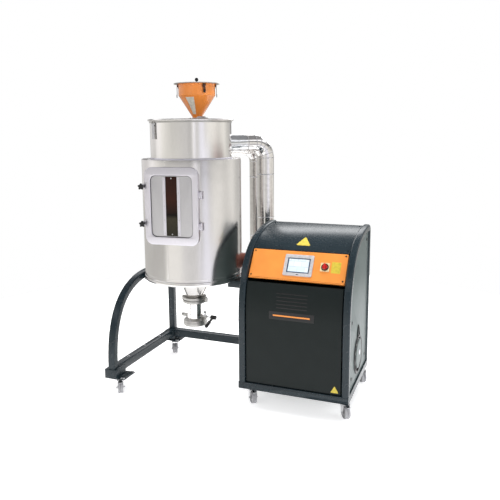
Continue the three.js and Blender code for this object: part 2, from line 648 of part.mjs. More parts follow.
// Hatch: a rounded plate with a shallow field, a tall slot for the sight glass, knuckles and clamp ears.
function hatchDoor() {
  const back = -DOOR.face + DOOR.thick;
  const plate = hatchPlate(DOOR.width, DOOR.height, DOOR.corner, -DOOR.face, DOOR.thick);
  const field = hatchPlate(PANEL.width, PANEL.height, PANEL.corner, -DOOR.face - 1, PANEL.depth + 1);
  const slot = hatchPlate(SIGHT.width, SIGHT.height, 4, -DOOR.face - 5, 60);
  const knuckles = HINGE.levels.map((z) => join(
    rod(HINGE.knuckle, 2 * HINGE.half, 'z', [HINGE.x, -HINGE.y, z - HINGE.half], 12),
    block([DOOR.width / 2 - 6, -HINGE.y - 8, z - HINGE.half], [HINGE.x, -HINGE.y, z + HINGE.half]),
  ));
  const bores = HINGE.levels.map((z) => rod(HINGE.pin + 0.9, 80, 'z', [HINGE.x, -HINGE.y, z - 40], 10));
  const ears = CLAMP_KNOB.levels.map((z) => (
    block([-CLAMP_KNOB.x - 14, back - 16, z - 14], [-DOOR.width / 2 + 6, back - 2, z + 14])));
  const earBores = CLAMP_KNOB.levels.map((z) => (
    rod(CLAMP_KNOB.stud + 1, 60, 'y', [-CLAMP_KNOB.x, back - 40, z], 12)));
  return cut(join(cut(plate, field, slot), ...knuckles, ...ears), ...bores, ...earBores);
}
add('hatch_door', hatchDoor(), SATIN, hatchGroup);
const [glassWidth, glassHeight] = [SIGHT.width - 2 * GAP, SIGHT.height - 2 * GAP];
const glassBody = hatchPlate(glassWidth, glassHeight, 3, -DOOR.face + PANEL.depth, SIGHT.thick);
add('hatch_glass', glassBody, GLASS, hatchGroup);

// Star knob: five lobes round a hub on a stud that reaches through the hatch's ear.
function starKnob(z) {
  const ear = -DOOR.face + DOOR.thick - 16;
  const lobes = Array.from({ length: 5 }, (_, i) => {
    const angle = (i * 72 * Math.PI) / 180;
    const reach = CLAMP_KNOB.radius - 8;
    return rod(8, 16, 'y', [reach * Math.sin(angle), -34, reach * Math.cos(angle)], 8);
  });
  const hub = rod(13, 16, 'y', [0, -34, 0], 10);
  const collar = rod(9, 18, 'y', [0, -18 - GAP, 0], 10);
  const stud = rod(CLAMP_KNOB.stud, 42, 'y', [0, -18, 0], 8);
  return join(hub, collar, stud, ...lobes).translate([-CLAMP_KNOB.x, ear - GAP, z]);
}
add('clamp_knob_lower', starKnob(CLAMP_KNOB.levels[0]), BLACK, hatchGroup);
add('clamp_knob_upper', starKnob(CLAMP_KNOB.levels[1]), BLACK, hatchGroup);

// Toggle latch: a lever that hangs from its pivot, flat against the wall.
// Its own frame has the wall at y = 0, -Y outward, and its pivot at z = 0.
function toggleLatch(length, width) {
  const half = width / 2;
  const pivot = rod(4, width + 4, 'x', [-half - 2, -6, 0], 8);
  const arm = block([-half * 0.55, -10, -length * 0.5], [half * 0.55, -7, 2]);
  const handle = block([-half, -11, -length], [half, -7, -length * 0.45]);
  return join(pivot, arm, handle);
}

function addLatch(name, centreX, radius, z, azimuth, length, width) {
  const group = new THREE.Group();
  const angle = THREE.MathUtils.degToRad(azimuth);
  group.position.set(centreX + radius * Math.cos(angle), HOPPER.y + radius * Math.sin(angle), z);
  group.rotation.z = angle + Math.PI / 2;
  dryer.add(group);
  add(name, toggleLatch(length, width), ZINC, group);
}
const LID_LATCH = { azimuths: [-123, 117], z: 1830, length: 102, width: 36 };
['front', 'rear'].forEach((side, i) => addLatch(`lid_latch_${side}`, HOPPER.x,
  HOPPER.neck + GAP, LID_LATCH.z, LID_LATCH.azimuths[i], LID_LATCH.length, LID_LATCH.width));

// ---------------------------------------------------------------- feeder
const atFeeder = (profile, sides = 24) => turned(profile, FEEDER.x, HOPPER.y, sides);

function feederBody() {
  const { bowl, bowlLow, rimHigh, neck, low } = FEEDER;
  const wall = 2.5;
  const high = rimHigh - 8;
  return atFeeder([[neck + 30, low], [neck + 30, low + 6], [neck, low + 6], [neck, low + 16], [bowl, bowlLow],
    [bowl, high], [bowl + 12, high], [bowl + 12, high + 3], [bowl - wall, high + 3],
    [bowl - wall, bowlLow + 1], [neck - wall, low + 17], [neck - wall, low]]);
}

function feederLid() {
  const { rim, rimHigh } = FEEDER;
  const low = rimHigh - 4.5;
  const dish = atFeeder([[0, low], [rim, low], [rim, low + 5], [rim - 6, low + 7], [0, low + 14]]);
  const stem = rod(4, 30, 'z', [FEEDER.x, HOPPER.y, low + 8], 10);
  const ball = solid(new THREE.SphereGeometry(12.5, 10, 8))
    .rotate([90, 0, 0]).translate([FEEDER.x, HOPPER.y, rimHigh + 27]);
  return join(dish, stem, ball);
}
add('feeder_body', feederBody(), AMBER);
add('feeder_lid', feederLid(), CASTING);

const FEEDER_LATCH = { azimuths: [-158, -42, 22], z: 2084, lengths: [78, 52, 76], width: 18 };
['left', 'front', 'right'].forEach((side, i) => addLatch(`feeder_latch_${side}`, FEEDER.x,
  FEEDER.bowl + GAP, FEEDER_LATCH.z, FEEDER_LATCH.azimuths[i], FEEDER_LATCH.lengths[i], FEEDER_LATCH.width));

// ---------------------------------------------------------------- outlet
function outletCollar() {
  const { pipe, collarLow, collarHigh } = OUTLET;
  const seat = CONE.radius - 8;
  const ring = atHopper([[pipe - 3, collarLow], [86, collarLow], [86, collarHigh], [seat, collarHigh],
    [seat, collarHigh - 8], [pipe - 3, collarHigh - 8]], 24);
  const ears = block(
    [HOPPER.x - 103, HOPPER.y - 14, collarLow + 6],
    [HOPPER.x + 103, HOPPER.y + 14, collarHigh - 6],
  );
  const bore = rod(pipe - 3, 100, 'z', [HOPPER.x, HOPPER.y, collarLow - 20], 24);
  return cut(join(ring, ears), bore);
}
add('outlet_collar', outletCollar(), CASTING);

function outletValve() {
  const { pipe, collarLow, flangeLow, flangeHigh, shaft } = OUTLET;
  const tube = atHopper([[pipe - 3, flangeLow], [86, flangeLow], [86, flangeHigh - 6], [80, flangeHigh],
    [pipe, flangeHigh], [pipe, collarLow - GAP], [pipe - 3, collarLow - GAP]], 24);
  const boss = (low, high) => rod(13, high - low, 'x', [HOPPER.x + low, HOPPER.y, shaft], 12);
  return cut(
    join(tube, boss(-106, -pipe + 1), boss(pipe - 1, 96)),
    rod(pipe - 3, 300, 'z', [HOPPER.x, HOPPER.y, 380], 24),
    rod(6.2, 300, 'x', [HOPPER.x - 60, HOPPER.y, shaft], 12),
  );
}
add('outlet_valve', outletValve(), SATIN);

// The flap, its shaft and the lever turn together.
function outletFlap() {
  const { pipe, shaft } = OUTLET;
  const flap = rod(pipe - 6, 4, 'z', [0, 0, -2], 20);
  const spindle = rod(5, 186, 'x', [-56, 0, 0], 8);
  const hub = rod(15, 40, 'x', [128, 0, 0], 12);
  const lever = block([134, -78, -6], [150, 0, 6]);
  const grip = rod(13, 62, 'y', [142, -130, 0], 10);
  const handle = join(hub, lever, grip).rotate([14, 0, 0]);
  return join(flap, spindle, handle).translate([HOPPER.x, HOPPER.y, shaft]);
}
add('outlet_flap', outletFlap(), BLACK);

// ---------------------------------------------------------------- ducts
const direction = THREE.MathUtils.degToRad(DUCT.azimuth);
const alongDuct = (reach, offset) => [
  HOPPER.x + reach * Math.cos(direction) - offset * Math.sin(direction),
  HOPPER.y + reach * Math.sin(direction) + offset * Math.cos(direction),
];

function airDuct(offset, high, reach, low, start) {
  const corner = alongDuct(reach, offset);
  const points = bentPoints([
    [...alongDuct(start, offset), high],
    [...corner, high],
    [...corner, low],
    [DUCT_RUN.entry, corner[1], low],
    [DUCT_RUN.entry, CABINET.rear - 8 + GAP, low],
  ], DUCT_RUN.bend);
  const pipe = swept(ringSection(DUCT.radius, DUCT.wall, 10), points);
  return cut(pipe, rod(HOPPER.neck + 1.4, 500, 'z', [HOPPER.x, HOPPER.y, high - 250], 36));
}
add('air_duct_front', airDuct(0, DUCT.highA, DUCT_RUN.reachA, DUCT_RUN.lowA, 190), CLADDING);
add('air_duct_rear', airDuct(DUCT.offsetB, DUCT.highB, DUCT_RUN.reachB, DUCT_RUN.lowB, 90), CLADDING);

// Short hot-air duct between the cabinet's side and the foot of the jacket.
function hotAirLink() {
  const { radius, wall, start, y, z } = LINK;
  const outer = rod(radius, SIDE_FACE - GAP - start, 'x', [start, y, z], 16);
  const inner = rod(radius - wall, 400, 'x', [start - 20, y, z], 16);
  return cut(outer, inner, rod(HOPPER.jacket + GAP, 400, 'z', [HOPPER.x, HOPPER.y, 700], 72));
}
add('hot_air_link', hotAirLink(), SILICONE);

// ---------------------------------------------------------------- centre the footprint on the origin
const extent = new THREE.Box3().setFromObject(dryer, true);
dryer.position.set(-(extent.min.x + extent.max.x) / 2, -(extent.min.y + extent.max.y) / 2, -extent.min.z);
dryer.updateMatrixWorld(true);

export default dryer;
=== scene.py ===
# Looks of a mobile granulate dryer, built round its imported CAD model.
# Shapes are written in millimetres in the layout frame: origin on the floor below the cabinet's
# front left corner, +X along the cabinet, +Y to the rear, +Z up.
import math

import bmesh
import bpy
from mathutils import Matrix, Vector


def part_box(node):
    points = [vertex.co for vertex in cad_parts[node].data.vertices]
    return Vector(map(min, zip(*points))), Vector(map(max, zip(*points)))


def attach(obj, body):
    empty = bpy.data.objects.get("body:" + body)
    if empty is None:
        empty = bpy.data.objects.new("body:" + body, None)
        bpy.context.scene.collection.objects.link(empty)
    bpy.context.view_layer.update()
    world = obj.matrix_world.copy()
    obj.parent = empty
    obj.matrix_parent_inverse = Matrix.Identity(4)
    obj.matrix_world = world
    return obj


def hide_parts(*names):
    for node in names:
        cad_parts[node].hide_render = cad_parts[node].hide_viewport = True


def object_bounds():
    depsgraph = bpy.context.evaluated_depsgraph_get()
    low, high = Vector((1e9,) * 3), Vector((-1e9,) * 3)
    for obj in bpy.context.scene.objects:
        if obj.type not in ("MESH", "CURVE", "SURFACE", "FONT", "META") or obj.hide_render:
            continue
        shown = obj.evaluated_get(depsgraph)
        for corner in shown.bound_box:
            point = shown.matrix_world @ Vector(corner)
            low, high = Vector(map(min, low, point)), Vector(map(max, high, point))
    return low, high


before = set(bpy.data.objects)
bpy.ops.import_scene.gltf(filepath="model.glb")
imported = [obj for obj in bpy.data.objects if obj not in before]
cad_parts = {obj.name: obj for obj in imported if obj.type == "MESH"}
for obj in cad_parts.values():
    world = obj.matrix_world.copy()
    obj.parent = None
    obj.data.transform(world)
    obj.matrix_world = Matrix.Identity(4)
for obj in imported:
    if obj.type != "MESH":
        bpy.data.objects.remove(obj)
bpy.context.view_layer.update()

# ---------------------------------------------------------------- driving dimensions
MM = 0.001
CABINET_WIDTH = 720
CABINET_FRONT = -20
CABINET_REAR = 662
CABINET_TOP = 1144
CABINET_CORNER = 48
BASE_TOP = 170
TUBE = 45
SIDE_FACE = 10
HOPPER_X, HOPPER_Y = -481, 332
JACKET_R, JACKET_LOW, JACKET_HIGH = 344, 758, 1595
VESSEL_R, VESSEL_TOP = 280, 1850
CONE_R, CONE_LOW, CONE_HIGH = 66, 606, 930
HATCH_TURN = math.radians(5.2)
DOOR_W, DOOR_H, DOOR_LOW, DOOR_CORNER = 372, 505, 1047, 52
DOOR_FACE, DOOR_THICK = 375, 22
DOOR_MIDDLE = DOOR_LOW + DOOR_H / 2
FIELD_W, FIELD_H, FIELD_CORNER, FIELD_DEPTH = 288, 401, 34, 8
GLASS_W, GLASS_H = 80, 388
NECK_W, NECK_H, NECK_CORNER, NECK_WALL = 336, 464, 40, 3
HINGE_X, HINGE_Y, HINGE_LEVELS = 200, -356, {"lower": 1173, "upper": 1376}
KNOB_X, KNOB_LEVELS = -199, {"lower": 1183, "upper": 1428}
FEEDER_X = -429
OUTLET_SHAFT = 456
DUCT_R = 64
DUCT_AZIMUTH = math.radians(52)
LINK_START, LINK_Y, LINK_Z = -290, 540, 848
INLET_Y, INLET_Z, INLET_R = 312, 330, 128
TOUCH, SWITCH, LABEL = (366, 95), (535, 97), (604, 99)     # centres on the console, in its X and Z
CONSOLE_LOW = (50, 862)     # its lower and upper edge, in Y and Z
CONSOLE_HIGH = (160, 1021)
CONSOLE_LEAN = math.atan2(CONSOLE_HIGH[0] - CONSOLE_LOW[0], CONSOLE_HIGH[1] - CONSOLE_LOW[1])
CONSOLE_LENGTH = math.hypot(CONSOLE_HIGH[0] - CONSOLE_LOW[0], CONSOLE_HIGH[1] - CONSOLE_LOW[1])
STAND_X = -870
CAMERA_PLACE, CAMERA_LENS, CAMERA_SHIFT = (1.358, -3.31, 1.765), 41.64, -0.05
CAMERA_ANGLES = (21.1, 9.03, -0.43)     # yaw to the left, pitch down, roll, in degrees

# ---------------------------------------------------------------- frames
BASE_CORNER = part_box("cabinet_base")[0]
ORIGIN = Vector((BASE_CORNER.x, BASE_CORNER.y - CABINET_FRONT * MM, 0.0))
LAYOUT = Matrix.Translation(ORIGIN) @ Matrix.Scale(MM, 4)


def move(x, y, z):
    return Matrix.Translation((x, y, z))


def turn(degrees, axis):
    return Matrix.Rotation(math.radians(degrees), 4, axis)


HATCH = LAYOUT @ move(HOPPER_X, HOPPER_Y, 0) @ Matrix.Rotation(HATCH_TURN, 4, "Z")
HOPPER = LAYOUT @ move(HOPPER_X, HOPPER_Y, 0)
FEEDER = LAYOUT @ move(FEEDER_X, HOPPER_Y, 0)
CONSOLE = LAYOUT @ move(0, *CONSOLE_LOW) @ Matrix.Rotation(-CONSOLE_LEAN, 4, "X")
UPRIGHT = turn(90, "X")     # turns a flat plate to stand in X and Z, its top towards -Y


# ---------------------------------------------------------------- shapes, as bmesh in millimetres
def rounded(points, radius, steps=5, closed=True):
    """An outline with each corner turned into an arc."""
    corners = [Vector(p) for p in points]
    result = []
    for i, corner in enumerate(corners):
        if not closed and i in (0, len(corners) - 1):
            result.append(corner)
            continue
        back = corners[i - 1] - corner
        ahead = corners[(i + 1) % len(corners)] - corner
        half = back.angle(ahead) / 2
        if half > math.radians(88):
            result.append(corner)
            continue
        reach = min(radius / math.tan(half), 0.49 * back.length, 0.49 * ahead.length)
        start = corner + back.normalized() * reach
        end = corner + ahead.normalized() * reach
        middle = corner + (back.normalized() + ahead.normalized()).normalized() * reach / math.cos(half)
        spread = math.pi - 2 * half
        for step in range(steps + 1):
            share = step / steps
            first = math.sin((1 - share) * spread) / math.sin(spread)
            second = math.sin(share * spread) / math.sin(spread)
            result.append(middle + (start - middle) * first + (end - middle) * second)
    return result


def circle(radius, sides=48, x=0.0, y=0.0):
    turns = [2 * math.pi * i / sides for i in range(sides)]
    return [Vector((x + radius * math.cos(t), y + radius * math.sin(t))) for t in turns]


def rectangle(width, height, corner=0.0, x=0.0, y=0.0, steps=8):
    w, h = width / 2, height / 2
    points = [(x - w, y - h), (x + w, y - h), (x + w, y + h), (x - w, y + h)]
    return rounded(points, corner, steps) if corner else [Vector(p) for p in points]


def bezier(controls, samples):
    """Points along a cubic curve from its four control points."""
    points = []
    for i in range(samples + 1):
        t = i / samples
        weights = [(1 - t) ** 3, 3 * t * (1 - t) ** 2, 3 * t * t * (1 - t), t ** 3]
        points.append(Vector([sum(w * p[axis] for w, p in zip(weights, controls)) for axis in (0, 1)]))
    return points


def shoulder(x, y, radius, steps):
    """A quarter of a circle, from its top over to its right, ending at the corner (x, y)'s two sides."""
    angles = [math.pi / 2 * (1 - step / steps) for step in range(steps + 1)]
    return [Vector((x - radius + radius * math.cos(a), y - radius + radius * math.sin(a))) for a in angles]


def bridge(shape, rings, looped=False):
    pairs = list(zip(rings, rings[1:]))
    if looped:
        pairs.append((rings[-1], rings[0]))
    for low, high in pairs:
        count = max(len(low), len(high))
        for i in range(count):
            j = (i + 1) % count
            loop = [low[i % len(low)], low[j % len(low)], high[j % len(high)], high[i % len(high)]]
            corners = list(dict.fromkeys(loop))
            if len(corners) > 2:
                shape.faces.new(corners)


def lathe(profile, sides=96):
    """A closed profile of (radius, height) points turned about Z."""
    shape = bmesh.new()
    rings = []
    for radius, height in profile:
        spots = [Vector((0, 0))] if radius < 1e-6 else circle(radius, sides)
        rings.append([shape.verts.new((p.x, p.y, height)) for p in spots])
    bridge(shape, rings, looped=True)
    return shape


def turned(profile, radius, steps, sides):
    """A profile from the axis out and back to it, its corners rounded, turned about Z."""
    return lathe(rounded(profile, radius, steps, closed=False), sides)


def sweep(section, path, side):
    """A closed section carried along a path and mitred at each point. side is where its X points first."""
    points = [Vector(p) for p in path]
    ahead = (points[1] - points[0]).normalized()
    side = Vector(side).normalized()
    up = ahead.cross(side)
    places = [points[0] + side * p[0] + up * p[1] for p in section]
    shape = bmesh.new()
    rings = [[shape.verts.new(v) for v in places]]
    for i in range(1, len(points)):
        along = (points[i] - points[i - 1]).normalized()
        onward = (points[i + 1] - points[i]).normalized() if i + 1 < len(points) else along
        plane = (along + onward).normalized()
        places = [v + along * ((points[i] - v).dot(plane) / along.dot(plane)) for v in places]
        rings.append([shape.verts.new(v) for v in places])
    bridge(shape, rings)
    shape.faces.new(rings[0])
    shape.faces.new(rings[-1])
    return shape


def into_scene(name, data):
    made = bpy.data.objects.new(name, data)
    bpy.context.scene.collection.objects.link(made)
    return made


def mesh_of(shape, name="part"):
    mesh = bpy.data.meshes.new(name)
    shape.to_mesh(mesh)
    shape.free()
    return mesh


def loaded(mesh):
    shape = bmesh.new()
    shape.from_mesh(mesh)
    bpy.data.meshes.remove(mesh)
    return shape


def plate(outlines, thickness, edge=0.0):
    """A flat plate in X and Y with its holes, from z = 0 up, with rounded edges."""
    curve = bpy.data.curves.new("outline", "CURVE")
    curve.dimensions = "2D"
    curve.fill_mode = "BOTH"
    curve.extrude = thickness / 2 - edge
    curve.bevel_depth = edge
    curve.bevel_resolution = 2
    curve.offset = -edge
    for outline in outlines:
        spline = curve.splines.new("POLY")
        spline.points.add(len(outline) - 1)
        for point, place in zip(spline.points, outline):
            point.co = (place[0], place[1], 0, 1)
        spline.use_cyclic_u = True
    carrier = bpy.data.objects.new("outline", curve)
    shape = loaded(bpy.data.meshes.new_from_object(carrier))
    bpy.data.objects.remove(carrier)
    bpy.data.curves.remove(curve)
    bmesh.ops.remove_doubles(shape, verts=shape.verts, dist=1e-3)
    bmesh.ops.translate(shape, verts=shape.verts, vec=(0, 0, thickness / 2))
    return shape


def upright(outlines, thickness, edge=0.0, y=0.0):
    """A flat plate that stands in X and Z, from its face at y towards -Y."""
    return placed(plate(outlines, thickness, edge), move(0, y, 0) @ UPRIGHT)


def block(low, high, edge=1.0):
    """A box between two corners with rounded edges."""
    size = [b - a for a, b in zip(low, high)]
    middle = [(a + b) / 2 for a, b in zip(low, high)]
    shape = bmesh.new()
    bmesh.ops.create_cube(shape, size=1, matrix=move(*middle) @ Matrix.Diagonal((*size, 1)))
    if edge:
        bmesh.ops.bevel(shape, geom=shape.edges, offset=edge, segments=3, profile=0.5, affect="EDGES")
    return shape


def rod(radius, length, edge=0.8, sides=32):
    """A round bar along Z from the origin, with softened ends."""
    return lathe([(0, 0), (radius - edge, 0), (radius, edge), (radius, length - edge),
                  (radius - edge, length), (0, length)], sides)


def screw(radius=4.0, height=3.0):
    """A round screw head with a socket, standing on z = 0."""
    return lathe([(0, height * 0.4), (radius * 0.45, height * 0.4), (radius * 0.5, height),
                  (radius * 0.8, height), (radius, height * 0.6), (radius, 0), (0, 0)], 18)


def hexagon_bolt(width=13.0, height=8.0):
    """A bolt head with its washer, standing on z = 0."""
    washer = rod(width * 0.75, 1.6, 0.4, 24)
    head = plate([circle(width / 2, 6)], height, 0.8)
    return together(washer, placed(head, move(0, 0, 1.6)))


def bolt_circle(count, radius, z, width, height, first=0.0):
    """Bolt heads round the Z axis, the first one a share of a pitch on from X."""
    turns = [Matrix.Rotation(math.tau * (k + first) / count, 4, "Z") for k in range(count)]
    return together(*[placed(hexagon_bolt(width, height), t @ move(radius, 0, z)) for t in turns])


def placed(shape, matrix):
    shape.transform(matrix)
    return shape


def together(*shapes):
    """Several shapes as one."""
    whole = bmesh.new()
    for shape in shapes:
        mesh = mesh_of(shape)
        whole.from_mesh(mesh)
        bpy.data.meshes.remove(mesh)
    return whole


def carved(shape, *cutters):
    """A shape with others cut out of it."""
    def carrier(source):
        bmesh.ops.recalc_face_normals(source, faces=source.faces)
        return into_scene("part", mesh_of(source))

    body = carrier(shape)
    tools = [carrier(cutter) for cutter in cutters]
    for tool in tools:
        difference = body.modifiers.new("cut", "BOOLEAN")
        difference.object = tool
        difference.solver = "EXACT"
    graph = bpy.context.evaluated_depsgraph_get()
    result = loaded(bpy.data.meshes.new_from_object(body.evaluated_get(graph)))
    for holder in [body, *tools]:
        mesh = holder.data
        bpy.data.objects.remove(holder)
        bpy.data.meshes.remove(mesh)
    return result


# ---------------------------------------------------------------- materials
class Nodes:
    """Makes and joins the nodes of a material or a world."""

    def __init__(self, owner):
        owner.use_nodes = True
        self.tree = owner.node_tree

    def node(self, kind, **values):
        made = self.tree.nodes.new(kind)
        for name, value in values.items():
            if hasattr(made, name):
                setattr(made, name, value)
            else:
                made.inputs[name.replace("_", " ")].default_value = value
        return made

    def link(self, source, target):
        self.tree.links.new(source, target)

    def span(self, source, **ends):
        """A value mapped from one span to another."""
        mapped = self.node("ShaderNodeMapRange", **ends)
        self.link(source, mapped.inputs["Value"])
        return mapped.outputs["Result"]

    def ramp(self, source, stops):
        """Colours by a value from 0 to 1."""
        ramp = self.node("ShaderNodeValToRGB")
        elements = ramp.color_ramp.elements
        while len(elements) < len(stops):
            elements.new(0.5)
        for element, (position, color) in zip(elements, stops):
            element.position = position
            element.color = (*color, 1)
        self.link(source, ramp.inputs["Fac"])
        return ramp.outputs["Color"]

    def mix(self, factor, first, second, **values):
        """Two colours mixed, each of the three a socket or a plain value."""
        mixed = self.node("ShaderNodeMix", data_type="RGBA", **values)
        for source, name in ((factor, "Factor"), (first, "A"), (second, "B")):
            if isinstance(source, bpy.types.NodeSocket):
                self.link(source, mixed.inputs[name])
            else:
                mixed.inputs[name].default_value = source
        return mixed.outputs["Result"]


class Look(Nodes):
    """A procedural material, and the record's slot that it stands for."""

    def __init__(self, name, slot, roughness, metallic=0.0, **sockets):
        self.slot = slot
        self.data = bpy.data.materials.new(name)
        super().__init__(self.data)
        self.shader = self.tree.nodes["Principled BSDF"]
        self.shader.inputs["Metallic"].default_value = metallic
        self.shader.inputs["Roughness"].default_value = roughness
        for socket, value in sockets.items():
            self.shader.inputs[socket.replace("_", " ")].default_value = value
        self.place = self.node("ShaderNodeTexCoord").outputs["Object"]

    def noise(self, scale, detail=3.0, stretch=(1, 1, 1)):
        mapping = self.node("ShaderNodeMapping", Scale=stretch)
        self.link(self.place, mapping.inputs["Vector"])
        texture = self.node("ShaderNodeTexNoise", Scale=scale, Detail=detail)
        self.link(mapping.outputs["Vector"], texture.inputs["Vector"])
        return texture.outputs["Fac"]

    def color(self, source):
        self.link(source, self.shader.inputs["Base Color"])

    def roughness(self, source, low, high):
        self.link(self.span(source, To_Min=low, To_Max=high), self.shader.inputs["Roughness"])

    def bump(self, source, strength, distance):
        before = self.shader.inputs["Normal"].links
        bump = self.node("ShaderNodeBump", Strength=strength, Distance=distance)
        self.link(source, bump.inputs["Height"])
        if before:
            self.link(before[0].from_socket, bump.inputs["Normal"])
        self.link(bump.outputs["Normal"], self.shader.inputs["Normal"])


def scaled(color, factor):
    return tuple(channel * factor for channel in color)


def shade(color, factor):
    return tuple(min(1.0, channel) for channel in scaled(color, factor))


def powder_coat(name, slot, color, roughness=0.42, grain=0.12, **sockets):
    """Paint with a fine orange peel and a slight mottle."""
    look = Look(name, slot, roughness, Coat_Roughness=0.3, **sockets)
    mottle = look.noise(9, 5)
    look.color(look.ramp(mottle, [(0.3, shade(color, 0.93)), (0.7, shade(color, 1.07))]))
    look.roughness(look.noise(26, 4), roughness - 0.04, roughness + 0.05)
    look.bump(look.noise(1400, 2), grain, 0.0004)
    return look


def steel(name, slot, color, roughness, grain=(1, 1, 60), wave=0.0, **sockets):
    """Sheet steel with a drawn grain and, on thin sheet, a slow waviness."""
    look = Look(name, slot, roughness, 1.0, **sockets)
    streaks = look.noise(34, 6, grain)
    look.color(look.ramp(streaks, [(0.25, shade(color, 0.9)), (0.75, shade(color, 1.08))]))
    look.roughness(look.noise(22, 5, grain), roughness - 0.06, roughness + 0.08)
    look.bump(streaks, 0.04, 0.0004)
    if wave:
        look.bump(look.noise(5.5, 2), wave, 0.01)
    return look


def moulded(name, slot, color, roughness, grain=500, strength=0.12):
    """Plastic or rubber with a fine moulded texture."""
    look = Look(name, slot, roughness)
    look.color(look.ramp(look.noise(60, 4), [(0.3, shade(color, 0.85)), (0.7, shade(color, 1.18))]))
    look.roughness(look.noise(90, 3), roughness - 0.06, roughness + 0.08)
    look.bump(look.noise(grain, 3), strength, 0.0005)
    return look


ANTHRACITE = powder_coat("anthracite", "frame_paint", (0.0115, 0.021, 0.027), 0.26, 0.02,
                         Specular_IOR_Level=0.38)
DOOR_PAINT = powder_coat("door_coat", "door_paint", (0.0075, 0.0115, 0.0112), 0.42, Specular_IOR_Level=0.2)
SIDE_PAINT = powder_coat("side_coat", "side_paint", (0.06, 0.085, 0.083), 0.4)
ORANGE = powder_coat("console_coat", "console_paint", (0.86, 0.30, 0.055), 0.4, 0.06)
AMBER = powder_coat("feeder_lacquer", "feeder_paint", (0.78, 0.24, 0.03), 0.2, 0.02, Coat_Weight=0.6)
JACKET_STEEL = steel("jacket_sheet", "stainless", (0.77, 0.75, 0.74), 0.19, (60, 60, 1), 0.16)
VESSEL_STEEL = steel("vessel_sheet", "stainless", (0.82, 0.8, 0.78), 0.16, (60, 60, 1), 0.05)
PALE_STEEL = steel("frame_steel", "satin_steel", (0.74, 0.72, 0.77), 0.42, (60, 60, 1))
PANEL_STEEL = steel("panel_steel", "satin_steel", (0.6, 0.59, 0.6), 0.5, (60, 60, 1))
CLADDING = steel("cladding", "duct_cladding", (0.78, 0.76, 0.74), 0.13, (1, 1, 1), 0.05)
FOIL = steel("foil", "duct_cladding", (0.78, 0.79, 0.8), 0.2, (1, 1, 1), 0.9)
CAST = steel("cast", "cast_metal", (0.5, 0.49, 0.47), 0.4, (1, 1, 1), 0.08)
ZINC = steel("zinc", "zinc_steel", (0.6, 0.6, 0.61), 0.28, (1, 1, 1))
BLACK = moulded("black_plastic", "black_plastic", (0.0045, 0.0045, 0.005), 0.38)
RUBBER = moulded("black_rubber", "black_plastic", (0.018, 0.018, 0.018), 0.7)
TREAD = moulded("wheel_tread", "wheel_grey", (0.36, 0.36, 0.375), 0.5)
WHEEL_CORE = moulded("wheel_core", "wheel_grey", (0.26, 0.26, 0.27), 0.4)
RED = moulded("switch_red", "switch_red", (0.5, 0.012, 0.012), 0.3)
SIGN_YELLOW = moulded("sign_yellow", "switch_yellow", (0.6, 0.47, 0.05), 0.4)
SWITCH_CREAM = moulded("switch_cream", "switch_yellow", (0.72, 0.58, 0.33), 0.4)
SILICONE = moulded("silicone", "hose_silicone", (0.24, 0.085, 0.06), 0.5)
WINDOW = moulded("feeder_window", "sight_glass", (0.62, 0.6, 0.52), 0.12, strength=0.02)


def sight_glass():
    """Glass before a dark room: its colour by height shows granulate standing behind its lower part, and
    above it painted shade of the vessel's unlit inside.
    """
    look = Look("sight_glass", "sight_glass", 0.1, Specular_IOR_Level=0.12)
    split = look.node("ShaderNodeSeparateXYZ")
    look.link(look.place, split.inputs["Vector"])
    height = look.span(split.outputs["Z"], From_Min=1.10, From_Max=1.50)
    # Lower stops: the granulate's own colour. From 0.36 up, near black and dark brown: painted shade of the
    # unlit inside.
    behind = [(0.0, (0.035, 0.032, 0.022)), (0.3, (0.05, 0.043, 0.027)), (0.36, (0.007, 0.004, 0.003)),
              (0.42, (0.022, 0.008, 0.005)), (0.6, (0.045, 0.013, 0.007)), (1.0, (0.03, 0.011, 0.008))]
    room = look.ramp(height, behind)
    pellets = look.node("ShaderNodeTexVoronoi", Scale=330)
    look.link(look.place, pellets.inputs["Vector"])
    grains = look.ramp(pellets.outputs["Distance"], [(0.0, (1, 1, 1)), (0.6, (0.25, 0.25, 0.25))])
    look.color(look.mix(0.5, room, grains, blend_type="MULTIPLY"))
    return look


def screen_glass():
    """A lit operator screen with plain tiles and no writing."""
    look = Look("screen", "satin_steel", 0.12, Coat_Weight=0.5)
    tiles = look.node("ShaderNodeTexBrick", Scale=1.0, Mortar_Size=0.0015, Brick_Width=0.048,
                      Row_Height=0.021)
    look.link(look.place, tiles.inputs["Vector"])
    tiles.inputs["Color1"].default_value = (0.72, 0.76, 0.74, 1)
    tiles.inputs["Color2"].default_value = (0.55, 0.68, 0.8, 1)
    tiles.inputs["Mortar"].default_value = (0.5, 0.58, 0.66, 1)
    look.color(tiles.outputs["Color"])
    look.link(tiles.outputs["Color"], look.shader.inputs["Emission Color"])
    look.shader.inputs["Emission Strength"].default_value = 0.25
    return look


SIGHT_GLASS = sight_glass()
SCREEN = screen_glass()
BEZEL = moulded("touch_bezel", "satin_steel", (0.5, 0.49, 0.5), 0.4)
SCREEN_EDGE = moulded("screen_edge", "satin_steel", (0.02, 0.05, 0.1), 0.3)


def piece(name, shape, place, body, look, replaces=(), angle=32):
    """A named piece at its place, riding on a body, in the finish of its look."""
    shape.transform(place)
    bmesh.ops.recalc_face_normals(shape, faces=shape.faces)
    mesh = mesh_of(shape, name)
    mesh.polygons.foreach_set("use_smooth", [True] * len(mesh.polygons))
    mesh.set_sharp_from_angle(angle=math.radians(angle))
    mesh.materials.append(look.data)
    made = into_scene(name, mesh)
    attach(made, body)
    if replaces:
        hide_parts(*replaces)


